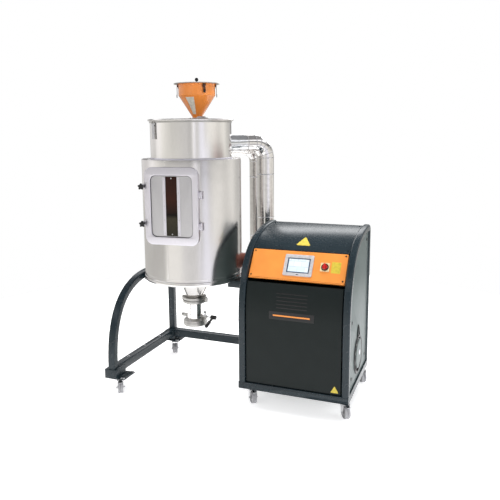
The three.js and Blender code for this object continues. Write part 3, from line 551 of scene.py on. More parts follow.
def softened(node, edge, look, body="machine"):
    """A boxy CAD node again, with its edges rounded."""
    shape = bmesh.new()
    shape.from_mesh(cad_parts[node].data)
    shape.transform(LAYOUT.inverted())
    bmesh.ops.remove_doubles(shape, verts=shape.verts, dist=0.01)
    bmesh.ops.dissolve_limit(shape, angle_limit=math.radians(2), verts=shape.verts, edges=shape.edges)
    sharp = [e for e in shape.edges if len(e.link_faces) == 2 and e.calc_face_angle() > math.radians(30)]
    bmesh.ops.bevel(shape, geom=sharp, offset=edge, segments=3, profile=0.5, affect="EDGES",
                    clamp_overlap=True)
    piece(node + "_shell", shape, LAYOUT, body, look, [node])


# ---------------------------------------------------------------- cabinet
def cabinet_outline(samples=40):
    """Side view in (Y, Z): up the front, in a long curve over the top, and down the rear."""
    low = BASE_TOP + 0.4
    curve = [(CABINET_FRONT, 600), (CABINET_FRONT, 1072), (300, CABINET_TOP + 4),
             (CABINET_REAR - CABINET_CORNER, CABINET_TOP)]
    over = shoulder(CABINET_REAR, CABINET_TOP, CABINET_CORNER, 8)[1:]
    return [Vector((CABINET_FRONT, low)), *bezier(curve, samples), *over, Vector((CABINET_REAR, low))]


def cabinet_line(inset):
    """The outline moved inward, measured square to it."""
    points = cabinet_outline()
    moved = []
    for i, point in enumerate(points):
        into = (point - points[i - 1]).normalized() if i else Vector((0, 1))
        out = (points[i + 1] - point).normalized() if i < len(points) - 1 else into
        along = (into + out).normalized()
        reach = inset / along.dot(into)
        moved.append(Vector((point.x + along.y * reach, point.y - along.x * reach)))
    return moved


def height_cut(line, z):
    """Where the front part of a line crosses a height."""
    for a, b in zip(line, line[1:]):
        if a.y <= z <= b.y:
            return Vector((a.x + (b.x - a.x) * (z - a.y) / (b.y - a.y), z))


def following(inset, low, high=None, rear=None):
    """The front part of the line between two heights, or over the top to a height at the rear."""
    line = cabinet_line(inset)
    start = height_cut(line, low)
    if high:
        end = height_cut(line, high)
        return [start, *[p for p in line if low < p.y < high and p.x < end.x], end]
    last = height_cut(line[::-1], rear)
    return [start, *[p for p in line if (p.y > low and p.x < 400) or (p.y > rear and p.x >= 400)], last]


def curved_sheet(line, inner, x_low, x_high, edge=1.5):
    """A sheet between two lines in (Y, Z), from one X to another."""
    shape = plate([[*line, *inner[::-1]]], x_high - x_low, edge)
    return placed(shape, move(x_low, 0, 0) @ turn(90, "Z") @ turn(90, "X"))


def side_tube(x):
    section = rectangle(TUBE, TUBE, 13)
    path = [(x, p.x, p.y) for p in cabinet_line(TUBE / 2)]
    return sweep(section, path, (1, 0, 0))


def warning_triangle(size):
    """A plain triangle plate with rounded corners and no sign on it."""
    tall = size * math.sqrt(3) / 2
    return plate([rounded([(-size / 2, 0), (size / 2, 0), (0, tall)], size * 0.07)], 0.8, 0.2)


def on_outline(x, z, inset=10, proud=0.0):
    """A place on the cabinet's front line, its Z pointing out of the sheet and its Y up along it."""
    line = cabinet_line(inset)
    for a, b in zip(line, line[1:]):
        if a.y <= z <= b.y:
            along = (b - a).normalized()
            spot = a + (b - a) * (z - a.y) / (b.y - a.y)
            break
    up = Vector((0, along.x, along.y))
    out = Vector((0, -along.y, along.x))
    right = up.cross(out)
    basis = Matrix((right, up, out)).transposed().to_4x4()
    return move(x, spot.x, spot.y) @ basis @ move(0, 0, proud)


def build_cabinet():
    softened("cabinet_base", 5, ANTHRACITE)
    rail_low, rail_high = 710, JACKET_LOW
    left = side_tube(TUBE / 2)
    rail = block((SIDE_FACE + 3.4, CABINET_FRONT + 30, rail_low), (43.4, CABINET_REAR - 30, rail_high), 2)
    piece("side_tube_left", together(left, rail), LAYOUT, "machine", ANTHRACITE, ["cabinet_side_tube_left"])
    piece("side_tube_right", side_tube(CABINET_WIDTH - TUBE / 2), LAYOUT, "machine", ANTHRACITE,
          ["cabinet_side_tube_right"])
    inner_low, inner_high = TUBE + 0.4, CABINET_WIDTH - TUBE - 0.4
    hood_front, hood_rear = CONSOLE_HIGH[1] + 4, CABINET_TOP - CABINET_CORNER - 5
    lines = [following(inset, hood_front, rear=hood_rear) for inset in (10, 13)]
    hood = curved_sheet(*lines, inner_low, inner_high, 0.8)
    piece("hood_sheet", hood, LAYOUT, "machine", ANTHRACITE, ["cabinet_hood"])
    door_line = following(10, 176, 834)
    door = curved_sheet(door_line, following(26, 176, 834), 50, 670, 4)
    back = curved_sheet(following(12.5, 190, 820), following(60, 190, 820), 64, 656, 0)
    piece("service_door", carved(door, back), LAYOUT, "service_door", DOOR_PAINT, ["cabinet_front_door"])
    outline = [(p.x, p.y) for p in cabinet_line(TUBE + 0.4)]
    link_hole = circle(51, 40, LINK_Y, LINK_Z)
    inlet_hole = circle(INLET_R - 12, 64, INLET_Y, INLET_Z)
    for side, x, hole in (("left", SIDE_FACE, link_hole),
                          ("right", CABINET_WIDTH - SIDE_FACE - 3, inlet_hole)):
        sheet = plate([outline, hole], 3, 0.5)
        placed(sheet, move(x, 0, 0) @ turn(90, "Z") @ turn(90, "X"))
        piece(f"side_panel_{side}", sheet, LAYOUT, "machine", SIDE_PAINT, [f"cabinet_side_panel_{side}"])
    softened("cabinet_rear_panel", 1, ANTHRACITE)


def build_console():
    top = plate([rectangle(620, CONSOLE_LENGTH - 1, 5, 360, CONSOLE_LENGTH / 2)], 3, 0.9)
    lip = block((50, -3, -7), (670, 14, -1), 1.2)
    shape = together(placed(top, UPRIGHT), lip)
    piece("console_sheet", shape, CONSOLE, "machine", ORANGE, ["console_panel"])
    face = -3
    screws = [placed(screw(5, 3), move(x, face, z) @ UPRIGHT) for x in (64, 656)
              for z in (14, CONSOLE_LENGTH - 14)]
    piece("console_screws", together(*screws), CONSOLE, "machine", BLACK)
    bezel = upright([rectangle(187, 144, 9, *TOUCH), rectangle(146, 100, 3, TOUCH[0], TOUCH[1] - 1)],
                    6.6, 1.6, face - 0.4)
    piece("touch_bezel", bezel, CONSOLE, "machine", BEZEL, ["touch_panel"])
    ring = upright([rectangle(146, 100, 3, TOUCH[0], TOUCH[1] - 1), rectangle(132, 87, 2, *TOUCH)], 3.5, 0.4,
                   face - 0.6)
    piece("screen_frame", ring, CONSOLE, "machine", SCREEN_EDGE)
    screen = upright([rectangle(134, 89, 1, *TOUCH)], 2.4, 0.2, face - 0.6)
    piece("screen_pane", screen, CONSOLE, "machine", SCREEN)
    button = upright([rectangle(14, 5, 2, TOUCH[0], TOUCH[1] - 62)], 1.0, 0.3, face - 6.8)
    piece("screen_button", button, CONSOLE, "machine", BLACK)
    cream = upright([rectangle(58, 58, 4, *SWITCH)], 4, 1, face - 0.4)
    piece("switch_base", cream, CONSOLE, "machine", SWITCH_CREAM, ["switch_plate"])
    ring = lathe([(17, 0), (24, 0), (23, 2.5), (18, 3)], 40)
    place = move(SWITCH[0], face - 4.4, SWITCH[1]) @ UPRIGHT
    piece("switch_ring", placed(ring, place), CONSOLE, "machine", BLACK)
    hub = lathe([(0, 0), (16, 0), (16, 6), (14, 8), (0, 8)], 40)
    grip = placed(plate([rectangle(12, 38, 5)], 16, 2), move(0, 0, 6))
    place = move(SWITCH[0], face - 4.8, SWITCH[1]) @ UPRIGHT
    piece("switch_handle", placed(together(hub, grip), place), CONSOLE, "main_switch", RED, ["switch_knob"])
    label = upright([rectangle(58, 74, 2, *LABEL)], 0.7, 0.2, face - 0.1)
    piece("yellow_label", label, CONSOLE, "machine", SIGN_YELLOW)


def build_cabinet_details():
    piece("hood_sign", warning_triangle(98), LAYOUT @ on_outline(366, 1052, 10, 0.1), "machine", SIGN_YELLOW)
    piece("door_sign", warning_triangle(52), LAYOUT @ on_outline(631, 186, 10, 0.1), "service_door",
          SIGN_YELLOW)
    sign = plate([rectangle(290, 52, 3)], 1.0, 0.3)
    piece("door_plate", sign, LAYOUT @ on_outline(352, 640, 10, 0.1), "service_door", BLACK)
    stripe = plate([rectangle(240, 9, 4)], 0.5, 0.15)
    piece("door_plate_stripe", stripe, LAYOUT @ on_outline(352, 640, 10, 1.1), "service_door", ORANGE)
    slots = []
    for z in range(690, 800, 22):
        rib = plate([rectangle(200, 7, 3.4)], 1.0, 0.4)
        slots.append(placed(rib, on_outline(352, z, 10, -0.2)))
    piece("door_louvres", together(*slots), LAYOUT, "service_door", BLACK)
    plugs = [placed(rod(11, 3, 1.2), move(x, y, z) @ turn(degrees, "Y"))
             for x, degrees in ((CABINET_WIDTH - SIDE_FACE, 90), (SIDE_FACE, -90))
             for y, z in ((564, 1050), (564, 240), (105, 604), (105, 240))]
    piece("side_plugs", together(*plugs), LAYOUT, "machine", BLACK)
    hood_screws = [placed(screw(5, 3), on_outline(x, 1040, 10, 0)) for x in (60, 660)]
    hood_screws += [placed(screw(5, 3), move(x, 560, CABINET_TOP - 10)) for x in (60, 660)]
    piece("hood_screws", together(*hood_screws), LAYOUT, "machine", ANTHRACITE)


def build_inlet():
    face = LAYOUT @ move(CABINET_WIDTH - SIDE_FACE + 0.4, INLET_Y, INLET_Z) @ turn(90, "Z") @ turn(90, "X")
    rim = lathe([(INLET_R - 16, 0), (INLET_R, 0), (INLET_R, 2), (INLET_R - 5, 6), (INLET_R - 12, 6),
                 (INLET_R - 16, 4)], 96)
    vanes = []
    for i in range(9):
        path = []
        for step in range(9):
            radius = 26 + (INLET_R - 42) * step / 8
            angle = 2 * math.pi * i / 9 + 0.9 * step / 8
            path.append((radius * math.cos(angle), radius * math.sin(angle), 1.6))
        vanes.append(sweep(rectangle(3, 11, 1), path, (0, 0, 1)))
    # The rose's black also paints the shade seen in the crescent gap beside the offset dome.
    piece("inlet_rose", together(rim, *vanes), face, "machine", BLACK, ["inlet_guard"])
    dome = turned([(0, 3.2), (INLET_R - 32, 3.2), (INLET_R - 31, 4.2), (INLET_R - 46, 7.2), (0, 7.6)],
                  3, 3, 96)
    piece("inlet_deflector", placed(dome, move(14, 0, 0)), face, "machine", SIDE_PAINT)
    # A pale steel disc on the dome: it paints the light oval highlight on the inlet.
    cap = lathe([(0, 0), (17, 0), (16, 1.4), (0, 2)], 40)
    piece("inlet_highlight_cap", placed(cap, move(26, 4, 7.0)), face, "machine", PALE_STEEL)
    grip = sweep(rectangle(6, 8, 2), rounded_path([(-34, 128, 3), (-10, 196, 3), (6, 196, 3), (38, 124, 3)]),
                 (0, 0, 1))
    piece("inlet_grip", grip, face, "machine", BLACK)


def rounded_path(points):
    """A path through points in a plane square to Z, with its inner corners cut once."""
    path = [points[0]]
    for before, corner, after in zip(points, points[1:], points[2:]):
        for end in (before, after):
            path.append(tuple(c + 0.25 * (e - c) for c, e in zip(corner, end)))
    return [*path, points[-1]]


build_cabinet()
build_console()
build_cabinet_details()
build_inlet()


# ---------------------------------------------------------------- hopper
def arc_strip(radius, azimuth, width, low, high, thick):
    """A strip of sheet that lies upright on a cylinder about Z."""
    half = math.degrees(width / 2 / radius)
    shape = bmesh.new()
    steps = 6
    inner, outer = [], []
    for i in range(steps + 1):
        angle = math.radians(azimuth - half + 2 * half * i / steps)
        inner.append((radius * math.cos(angle), radius * math.sin(angle)))
        outer.append(((radius + thick) * math.cos(angle), (radius + thick) * math.sin(angle)))
    loop = outer + inner[::-1]
    rings = [[shape.verts.new((x, y, z)) for x, y in loop] for z in (low, high)]
    bridge(shape, rings)
    shape.faces.new(rings[0])
    shape.faces.new(rings[1])
    return shape


def on_cylinder(radius, azimuth, z):
    """A place on a cylinder's wall, its Z pointing out and its Y up."""
    angle = math.radians(azimuth)
    out = Vector((math.cos(angle), math.sin(angle), 0))
    up = Vector((0, 0, 1))
    basis = Matrix((up.cross(out), up, out)).transposed().to_4x4()
    return move(radius * out.x, radius * out.y, z) @ basis


def hatch_block(width, height, corner, front, rear):
    """A rounded block through the hatch, in the hopper's frame."""
    shape = plate([rectangle(width, height, corner, 0, DOOR_MIDDLE)], rear - front)
    return placed(shape, Matrix.Rotation(HATCH_TURN, 4, "Z") @ move(0, rear, 0) @ UPRIGHT)


def build_jacket():
    r, low, high = JACKET_R, JACKET_LOW, JACKET_HIGH
    outside = rounded([(176, low), (r + 3, low), (r + 3, low + 26), (r, low + 30), (r, high),
                       (VESSEL_R + 0.4, high)],
                      3, 3, closed=False)
    bead = [Vector((r + 3 + 1.0 * math.sin(math.pi * k / 4), low + 8 + 8 * k / 4)) for k in range(5)]
    outside[5:5] = bead
    inside = [(VESSEL_R + 0.4, high - 3), (r - 3, high - 3), (r - 3, low + 3), (176, low + 3)]
    shell = lathe([*outside, *inside], 180)
    hatch = hatch_block(NECK_W + 1, NECK_H + 1, NECK_CORNER, -420, -150)
    link = placed(rod(51, 400, 0.1, 48), move(0, LINK_Y - HOPPER_Y, LINK_Z) @ turn(90, "Y"))
    piece("jacket_shell", carved(shell, hatch, link), HOPPER, "machine", JACKET_STEEL,
          ["hopper_jacket", "jacket_top_plate", "jacket_base_plate"])
    seam_at = -93.5
    strips = [arc_strip(r - 0.5, seam_at, 13, low + 33, DOOR_LOW + 6, 1.6),
              arc_strip(r - 0.5, seam_at, 13, DOOR_LOW + DOOR_H - 6, high - 4, 1.6),
              arc_strip(r - 0.5, seam_at + 180, 13, low + 33, high - 4, 1.6)]
    piece("jacket_seams", together(*strips), HOPPER, "machine", JACKET_STEEL)
    rivets = [placed(screw(3.2, 2.2), on_cylinder(r + 1, seam_at, z))
              for z in (low + 42, DOOR_LOW - 16, high - 14)]
    rivets += [placed(screw(3.2, 2.2), on_cylinder(r + 1, seam_at + 180, z))
               for z in range(low + 42, high, 100)]
    piece("jacket_rivets", together(*rivets), HOPPER, "machine", CAST)
    band = lathe([(r - 1, low + 44), (r + 1.2, low + 45.2), (r + 1.2, low + 48), (r - 1, low + 49)], 180)
    piece("jacket_bead", band, HOPPER, "machine", JACKET_STEEL)
    collar = lathe([(VESSEL_R - 1, high - 1), (VESSEL_R + 7, high - 1), (VESSEL_R + 6, high + 4),
                    (VESSEL_R + 2, high + 9), (VESSEL_R - 1, high + 9)], 144)
    piece("jacket_top_collar", collar, HOPPER, "machine", PALE_STEEL)


def build_vessel():
    r = VESSEL_R
    profile = [(CONE_R - 3, CONE_LOW), (CONE_R, CONE_LOW), (r - 6, CONE_HIGH - 10), (r, CONE_HIGH + 12),
               (r, VESSEL_TOP), (r - 3, VESSEL_TOP), (r - 3, CONE_HIGH + 12), (r - 9, CONE_HIGH - 8)]
    shell = lathe(profile, 160)
    hatch = hatch_block(NECK_W - 6, NECK_H - 6, NECK_CORNER - 3, -400, -120)
    ports = [placed(rod(DUCT_R - 4, 400, 0.1, 48),
                    Matrix.Rotation(DUCT_AZIMUTH, 4, "Z") @ move(0, y, z) @ turn(90, "Y"))
             for y, z in ((0, 1692), (160, 1662))]
    piece("vessel_shell", carved(shell, hatch, *ports), HOPPER, "machine", VESSEL_STEEL,
          ["hopper_vessel", "hopper_cone"])
    ring = lathe([(r - 0.6, VESSEL_TOP - 13), (r + 4, VESSEL_TOP - 12), (r + 4, VESSEL_TOP - 3),
                  (r - 0.6, VESSEL_TOP - 2)], 160)
    piece("vessel_rim", ring, HOPPER, "machine", CAST)
    seam = arc_strip(r - 0.6, 118, 5, JACKET_HIGH + 10, VESSEL_TOP - 14, 1.1)
    piece("vessel_seam", seam, HOPPER, "machine", VESSEL_STEEL)


def build_lid():
    top = VESSEL_TOP
    disc = turned([(0, top + 0.4), (294, top + 0.4), (295, top + 5), (292, top + 11), (286, top + 11.5),
                   (281, top + 6.5), (150, top + 8), (0, top + 8)], 2.5, 3, 160)
    hole = placed(rod(26, 40, 0.1, 48), move(FEEDER_X - HOPPER_X, 0, top - 10))
    piece("lid_disc", carved(disc, hole), HOPPER, "lid", VESSEL_STEEL, ["hopper_lid"])
    port = lathe([(0, 0), (22, 0), (22, 9), (25, 9), (25, 15), (20, 16.5), (0, 17)], 48)
    placed(port, move(-340 - HOPPER_X, 250 - HOPPER_Y, top + 6))
    handle = sweep(circle(4.4, 16), [(-30, 0, 0), (-30, 0, 12), (-27, 0, 16), (-20, 0, 17.5), (20, 0, 17.5),
                                     (27, 0, 16), (30, 0, 12), (30, 0, 0)], (0, 1, 0))
    placed(handle, move(-340 - HOPPER_X, 212 - HOPPER_Y, top + 6))
    piece("lid_port", together(port, handle), HOPPER, "lid", ZINC)
    piece("lid_bolts", bolt_circle(8, 272, top + 6.5, 10, 5), HOPPER, "lid", ZINC)


def window(width, height, corner, steps=8):
    """An outline centred on the hatch's middle."""
    return rectangle(width, height, corner, 0, DOOR_MIDDLE, steps)


def build_hatch():
    back = -DOOR_FACE + DOOR_THICK
    hollow = window(NECK_W - 6, NECK_H - 6, NECK_CORNER - 3)
    duct = upright([window(NECK_W, NECK_H, NECK_CORNER), hollow], 200, 0, back - 0.4 + 200)
    core = placed(rod(VESSEL_R + 1.4, 700, 0.1, 160), move(0, 0, 900))
    lugs = [block((KNOB_X - 14, back - 0.4, z - 14), (-NECK_W / 2 + 1, back + 15, z + 14), 2)
            for z in KNOB_LEVELS.values()]
    duct = carved(duct, core)
    piece("hatch_neck", together(duct, *lugs), HATCH, "machine", PALE_STEEL, ["hatch_frame"])
    for level, z in HINGE_LEVELS.items():
        build_hinge(level, z)
    outer = window(DOOR_W, DOOR_H, DOOR_CORNER, 12)
    field = window(FIELD_W, FIELD_H, FIELD_CORNER, 12)
    ring = upright([outer, field], DOOR_THICK, 3.5, back)
    knuckles = []
    for z in HINGE_LEVELS.values():
        knuckles.append(placed(lathe([(4.9, 0), (8, 0), (8, 38), (4.9, 38)], 24),
                               move(HINGE_X, HINGE_Y, z - 19)))
        knuckles.append(block((DOOR_W / 2 - 5, HINGE_Y - 8, z - 19), (HINGE_X - 5, HINGE_Y - 1, z + 19), 0.8))
    ears = [carved(block((KNOB_X - 14, back - 16, z - 14), (-DOOR_W / 2 + 6, back - 2, z + 14), 3),
                   placed(rod(5, 60, 0.1, 24), move(KNOB_X, back + 20, z) @ UPRIGHT))
            for z in KNOB_LEVELS.values()]
    piece("hatch_ring", together(ring, *knuckles, *ears), HATCH, "hatch", PALE_STEEL, ["hatch_door"])
    inner = upright([window(FIELD_W - 1.5, FIELD_H - 1.5, FIELD_CORNER - 1, 12), window(GLASS_W, GLASS_H, 4)],
                    DOOR_THICK - FIELD_DEPTH - 1, 0.8, back - 1)
    piece("hatch_field", inner, HATCH, "hatch", PANEL_STEEL)
    face = -DOOR_FACE + FIELD_DEPTH
    seal = upright([window(FIELD_W - 0.4, FIELD_H - 0.4, FIELD_CORNER, 12),
                    window(FIELD_W - 6, FIELD_H - 6, FIELD_CORNER - 3, 12)], 1.4, 0.3, face)
    piece("hatch_field_seal", seal, HATCH, "hatch", RUBBER)
    pane = upright([window(GLASS_W - 0.8, GLASS_H - 0.8, 3)], 8, 0.5, face + 9)
    piece("sight_pane", pane, HATCH, "hatch", SIGHT_GLASS, ["hatch_glass"])
    strips = [upright([rectangle(20, GLASS_H - 10, 3, side * (GLASS_W / 2 + 10), DOOR_MIDDLE)], 1.8, 0.5,
                      face)
              for side in (-1, 1)]
    piece("sight_strips", together(*strips), HATCH, "hatch", PALE_STEEL)
    heads = [placed(screw(3.6, 2.4), move(side * (GLASS_W / 2 + 10), face - 1.6,
                                          DOOR_MIDDLE + 88 * k) @ UPRIGHT)
             for side in (-1, 1) for k in (-2, -1, 0, 1, 2)]
    heads += [placed(screw(4.5, 2.6), move(0, face + 1.2, DOOR_MIDDLE + end * (GLASS_H / 2 - 12)) @ UPRIGHT)
              for end in (-1, 1)]
    piece("sight_screws", together(*heads), HATCH, "hatch", ZINC)
    gasket = upright([window(NECK_W - 9, NECK_H - 9, NECK_CORNER - 5),
                      window(NECK_W - 33, NECK_H - 33, NECK_CORNER - 17)], 7, 2.5, back + 6.6)
    piece("hatch_gasket", gasket, HATCH, "hatch", RUBBER)
    for level, z in KNOB_LEVELS.items():
        build_star_knob(level, z)


def build_hinge(level, z):
    """Two forks on a web beside the hatch frame, with the pin between them."""
    leaves = []
    for end in (-1, 1):
        low = z + end * 22.5 - 2.5
        leaves.append(placed(lathe([(0, 0), (8, 0), (8, 5), (0, 5)], 24), move(HINGE_X, HINGE_Y, low)))
        leaves.append(block((HINGE_X - 2, HINGE_Y, low), (HINGE_X + 8, HINGE_Y + 26, low + 5), 0.6))
    leaves.append(block((NECK_W / 2 + 0.4, HINGE_Y + 19, z - 25), (HINGE_X + 8, HINGE_Y + 26, z + 25), 1))
    leaves.append(placed(rod(4, 50, 0.5, 20), move(HINGE_X, HINGE_Y, z - 25)))
    piece(f"hinge_leaf_{level}", together(*leaves), HATCH, "machine", PALE_STEEL, [f"hinge_bracket_{level}"])


def build_star_knob(level, z):
    ear = -DOOR_FACE + DOOR_THICK - 16
    star = []
    for i in range(60):
        angle = math.tau * i / 60
        reach = 18.2 + 3.6 * math.cos(5 * angle)
        star.append(Vector((reach * math.sin(angle), reach * math.cos(angle))))
    head = placed(plate([star], 16, 4), move(0, 0, 18))
    cap = placed(lathe([(0, 0), (10, 0), (9, 2.0), (0, 2.6)], 32), move(0, 0, 33.2))
    collar = lathe([(0, 0), (9, 0), (8, 12), (10, 19), (0, 19)], 32)
    place = HATCH @ move(KNOB_X, ear - 0.4, z) @ UPRIGHT
    body = f"{level}_knob"
    stud = placed(rod(4, 42, 0.4, 24), move(0, 0, -24))
    knob = together(head, cap, collar)
    piece(f"star_knob_{level}", knob, place, body, BLACK, [f"clamp_knob_{level}"])
    piece(f"star_knob_stud_{level}", stud, place, body, ZINC)


def lever_shape(length, width):
    """A toggle lever that hangs from its pivot, with a curled tip and a pressed rib."""
    path = [(0, -8.5, 3), (0, -8.5, -length * 0.55), (0, -8.8, -length * 0.85), (0, -10, -length + 1)]
    plate_part = sweep(rectangle(width - 3, 2.0, 0.6), path, (1, 0, 0))
    rib = sweep(rectangle(width * 0.28, 1.6, 0.6), [(0, -9.8, -8), (0, -9.8, -length * 0.7)], (1, 0, 0))
    pivot = placed(rod(3.8, width + 4, 0.5, 20), move(-width / 2 - 2, -6, 0) @ turn(90, "Y"))
    return together(plate_part, rib, pivot)


def wall_place(base, radius, azimuth, z):
    """A latch's frame: wall at y = 0, -Y outward, pivot at z = 0."""
    return base @ Matrix.Rotation(math.radians(azimuth), 4, "Z") @ move(radius, 0, z) @ turn(90, "Z")


def bail_shape(height, width):
    """The wire loop and hook that a toggle lever pulls on."""
    half = width / 2
    wire = sweep(circle(1.4, 10), [(3 - half, -5, -6), (3 - half, -5, height - 2), (5 - half, -5.6, height),
                                   (half - 5, -5.6, height), (half - 3, -5, height - 2), (half - 3, -5, -6)],
                 (0, 1, 0))
    base = block((-half - 2, -2.4, -16), (half + 2, -0.2, 12), 0.8)
    cheeks = [block((x, -9.0, -6), (x + 1.6, -1, 6), 0.5) for x in (-half - 1.4, half - 0.2)]
    return together(wire, base, *cheeks)


def build_lid_latches():
    for side, azimuth in (("front", -123), ("rear", 117)):
        place = wall_place(HOPPER, VESSEL_R + 0.4, azimuth, 1830)
        piece(f"lid_lever_{side}", lever_shape(102, 36), place, f"lid_catch_{side}", ZINC,
              [f"lid_latch_{side}"])
        piece(f"lid_bail_{side}", bail_shape(17, 36), place, "machine", CAST)


# ---------------------------------------------------------------- feeder
def build_feeder():
    bowl, neck, low, bowl_low, high = 125, 34, 1860, 2020, 2092
    outside = rounded([(neck, low + 6), (neck, low + 18), (bowl, bowl_low), (bowl, high),
                       (bowl + 10, high + 1)], 9, 4,
                      closed=False)
    inside = rounded([(bowl + 10, high + 3), (bowl - 2.5, high + 3), (bowl - 2.5, bowl_low + 1),
                      (neck - 2.5, low + 19), (neck - 2.5, low + 6)], 7, 4, closed=False)
    piece("feeder_cone", lathe([*outside, *inside], 120), FEEDER, "lid", AMBER, ["feeder_body"])
    foot = lathe([(neck - 2.5, low), (neck + 29, low), (neck + 30, low + 2), (neck + 29, low + 6),
                  (neck + 5, low + 7),
                  (neck + 1, low + 12), (neck - 2.5, low + 12)], 72)
    piece("feeder_foot", foot, FEEDER, "lid", FOOT_PLATE)
    piece("feeder_foot_bolts", bolt_circle(4, 51, low + 6, 9, 4, 0.5), FEEDER, "lid", ZINC)
    rim = lathe([(bowl + 14, 2095.4), (155, 2095.4), (156, 2097), (155.4, 2100), (bowl + 14, 2101)], 120)
    disc = lathe([(0, 2095.4), (bowl + 16, 2095.4), (bowl + 16, 2101), (60, 2107), (0, 2109)], 120)
    piece("feeder_cover_rim", rim, FEEDER, "feeder_cover", CAST)
    piece("feeder_cover_disc", disc, FEEDER, "feeder_cover", CAST, ["feeder_lid"])
    ball = [(0, 2107), (5, 2107), (4.4, 2115)]
    ball += [(12.4 * math.sin(math.radians(a)), 2127 - 12.4 * math.cos(math.radians(a)))
             for a in range(25, 181, 12)]
    ball[-1] = (0, 2139.4)
    piece("feeder_knob", lathe(ball, 48), FEEDER, "feeder_cover", BLACK)
    build_feeder_window(bowl, neck, low, bowl_low)
    spots = (("left", -158, 78), ("front", -42, 52), ("right", 22, 76))
    for side, azimuth, length in spots:
        place = wall_place(FEEDER, bowl + 0.4, azimuth, 2084)
        body = f"feeder_catch_{side}"
        piece(f"feeder_lever_{side}", lever_shape(length, 18), place, body, BROWN_LATCH,
              [f"feeder_latch_{side}"])
        tip = block((-8.5, -12.4, -length), (8.5, -8.0, -length + 22), 1.6)
        piece(f"feeder_lever_tip_{side}", tip, place, body, BLACK)
        piece(f"feeder_bail_{side}", bail_shape(8, 18), place, "lid", BROWN_LATCH)


def build_feeder_window(bowl, neck, low, bowl_low):
    """A clear pane let into the cone, as a patch of the cone a little proud of it."""
    shape = bmesh.new()
    rings = []
    rows, columns, proud = 8, 10, 1.0
    for side in (proud, 0.1):
        for row in range(rows + 1):
            share = 0.1 + 0.78 * row / rows
            height = bowl_low + (low + 18 - bowl_low) * share
            radius = bowl + (neck - bowl) * share + side
            half = math.radians(15.5 - 3 * share)
            middle = math.radians(-90 + 4 * share)
            angles = [middle - half + 2 * half * k / columns for k in range(columns + 1)]
            rings.append([shape.verts.new((radius * math.cos(a), radius * math.sin(a), height))
                          for a in angles])
    front, rear = rings[:rows + 1], rings[rows + 1:]
    for grid in (front, rear):
        for above, below in zip(grid, grid[1:]):
            for k in range(columns):
                shape.faces.new([above[k], above[k + 1], below[k + 1], below[k]])
    for k in range(columns):
        for row in (0, rows):
            shape.faces.new([front[row][k], front[row][k + 1], rear[row][k + 1], rear[row][k]])
    for row in range(rows):
        for k in (0, columns):
            shape.faces.new([front[row][k], front[row + 1][k], rear[row + 1][k], rear[row][k]])
    piece("feeder_window", shape, FEEDER, "lid", WINDOW)


# ---------------------------------------------------------------- outlet
def build_outlet():
    pipe = 56
    ring = lathe(rounded([(pipe - 2, 563), (84, 563), (86, 566), (86, 580), (78, 584), (78, 590), (86, 592),
                          (86, 602), (84, 604), (58, 604), (58, 597), (pipe - 2, 596)], 2, 3), 96)
    lugs = []
    for x in (-94, 94):
        lugs.append(placed(rod(9, 34, 1.5, 28), move(x, 0, 567)))
        lugs.append(placed(hexagon_bolt(12, 6), move(x, 0, 594)))
        lugs.append(block((min(x, 0.8 * x), -9, 572), (max(x, 0.8 * x), 9, 598), 2))
    piece("cone_clamp", together(ring, *lugs), HOPPER, "machine", CAST, ["outlet_collar"])
    tube = lathe([(pipe - 3, 440), (pipe, 440), (pipe, 562), (pipe - 3, 562)], 96)
    piece("outlet_tube", tube, HOPPER, "machine", VESSEL_STEEL)
    flange = lathe(rounded([(pipe - 3, 396), (84, 396), (86, 398), (86, 418), (82, 421), (82, 432), (70, 441),
                            (pipe + 3, 446), (pipe - 3, 446)], 2.5, 3), 96)
    bosses = []
    for low, high in ((-106, -pipe + 1), (pipe - 1, 96)):
        boss = lathe([(6.2, 0), (12, 0), (13, 2), (13, high - low - 2), (12, high - low), (6.2, high - low)],
                     32)
        bosses.append(placed(boss, move(low, 0, OUTLET_SHAFT) @ turn(90, "Y")))
    piece("outlet_flange", together(flange, *bosses), HOPPER, "machine", CAST, ["outlet_valve"])
    piece("outlet_flange_bolts", bolt_circle(6, 76, 435, 9, 4, 0.5), HOPPER, "machine", ZINC)
    spring_pin = lathe([(0, 0), (4, 0), (4, 16), (8, 18), (8, 26), (5, 29), (0, 29)], 28)
    piece("outlet_index_pin", placed(spring_pin, move(84, -8, 470)), HOPPER, "machine", BLACK)
    bracket = block((70, -14, 466), (94, -2, 471), 0.8)
    piece("outlet_index_bracket", bracket, HOPPER, "machine", ZINC)
    shaft = placed(rod(5, 190, 0.5, 24), move(-56, 0, 0) @ turn(90, "Y"))
    flap = turned([(0, -2), (48, -2), (50, 0), (48, 2), (0, 2)], 1, 2, 72)
    valve = HOPPER @ move(0, 0, OUTLET_SHAFT)
    piece("flap_disc", together(flap, shaft), valve, "outlet_lever", ZINC, ["outlet_flap"])
    tilt = turn(14, "X")
    hub = turned([(0, 0), (15, 0), (16, 6), (15, 40), (10, 42), (0, 42)], 3, 3, 40)
    placed(hub, move(126, 0, 0) @ turn(90, "Y"))
    arm = sweep(rectangle(16, 13, 4), [(142, 0, 0), (142, -30, 0), (142, -62, -2)], (1, 0, 0))
    grip = turned([(0, 0), (9, 0), (13, 6), (12, 40), (13, 62), (9, 68), (0, 68)], 3, 3, 40)
    placed(grip, move(142, -56, -2) @ UPRIGHT)
    piece("flap_handle", placed(together(hub, arm, grip), tilt), valve, "outlet_lever", BLACK)


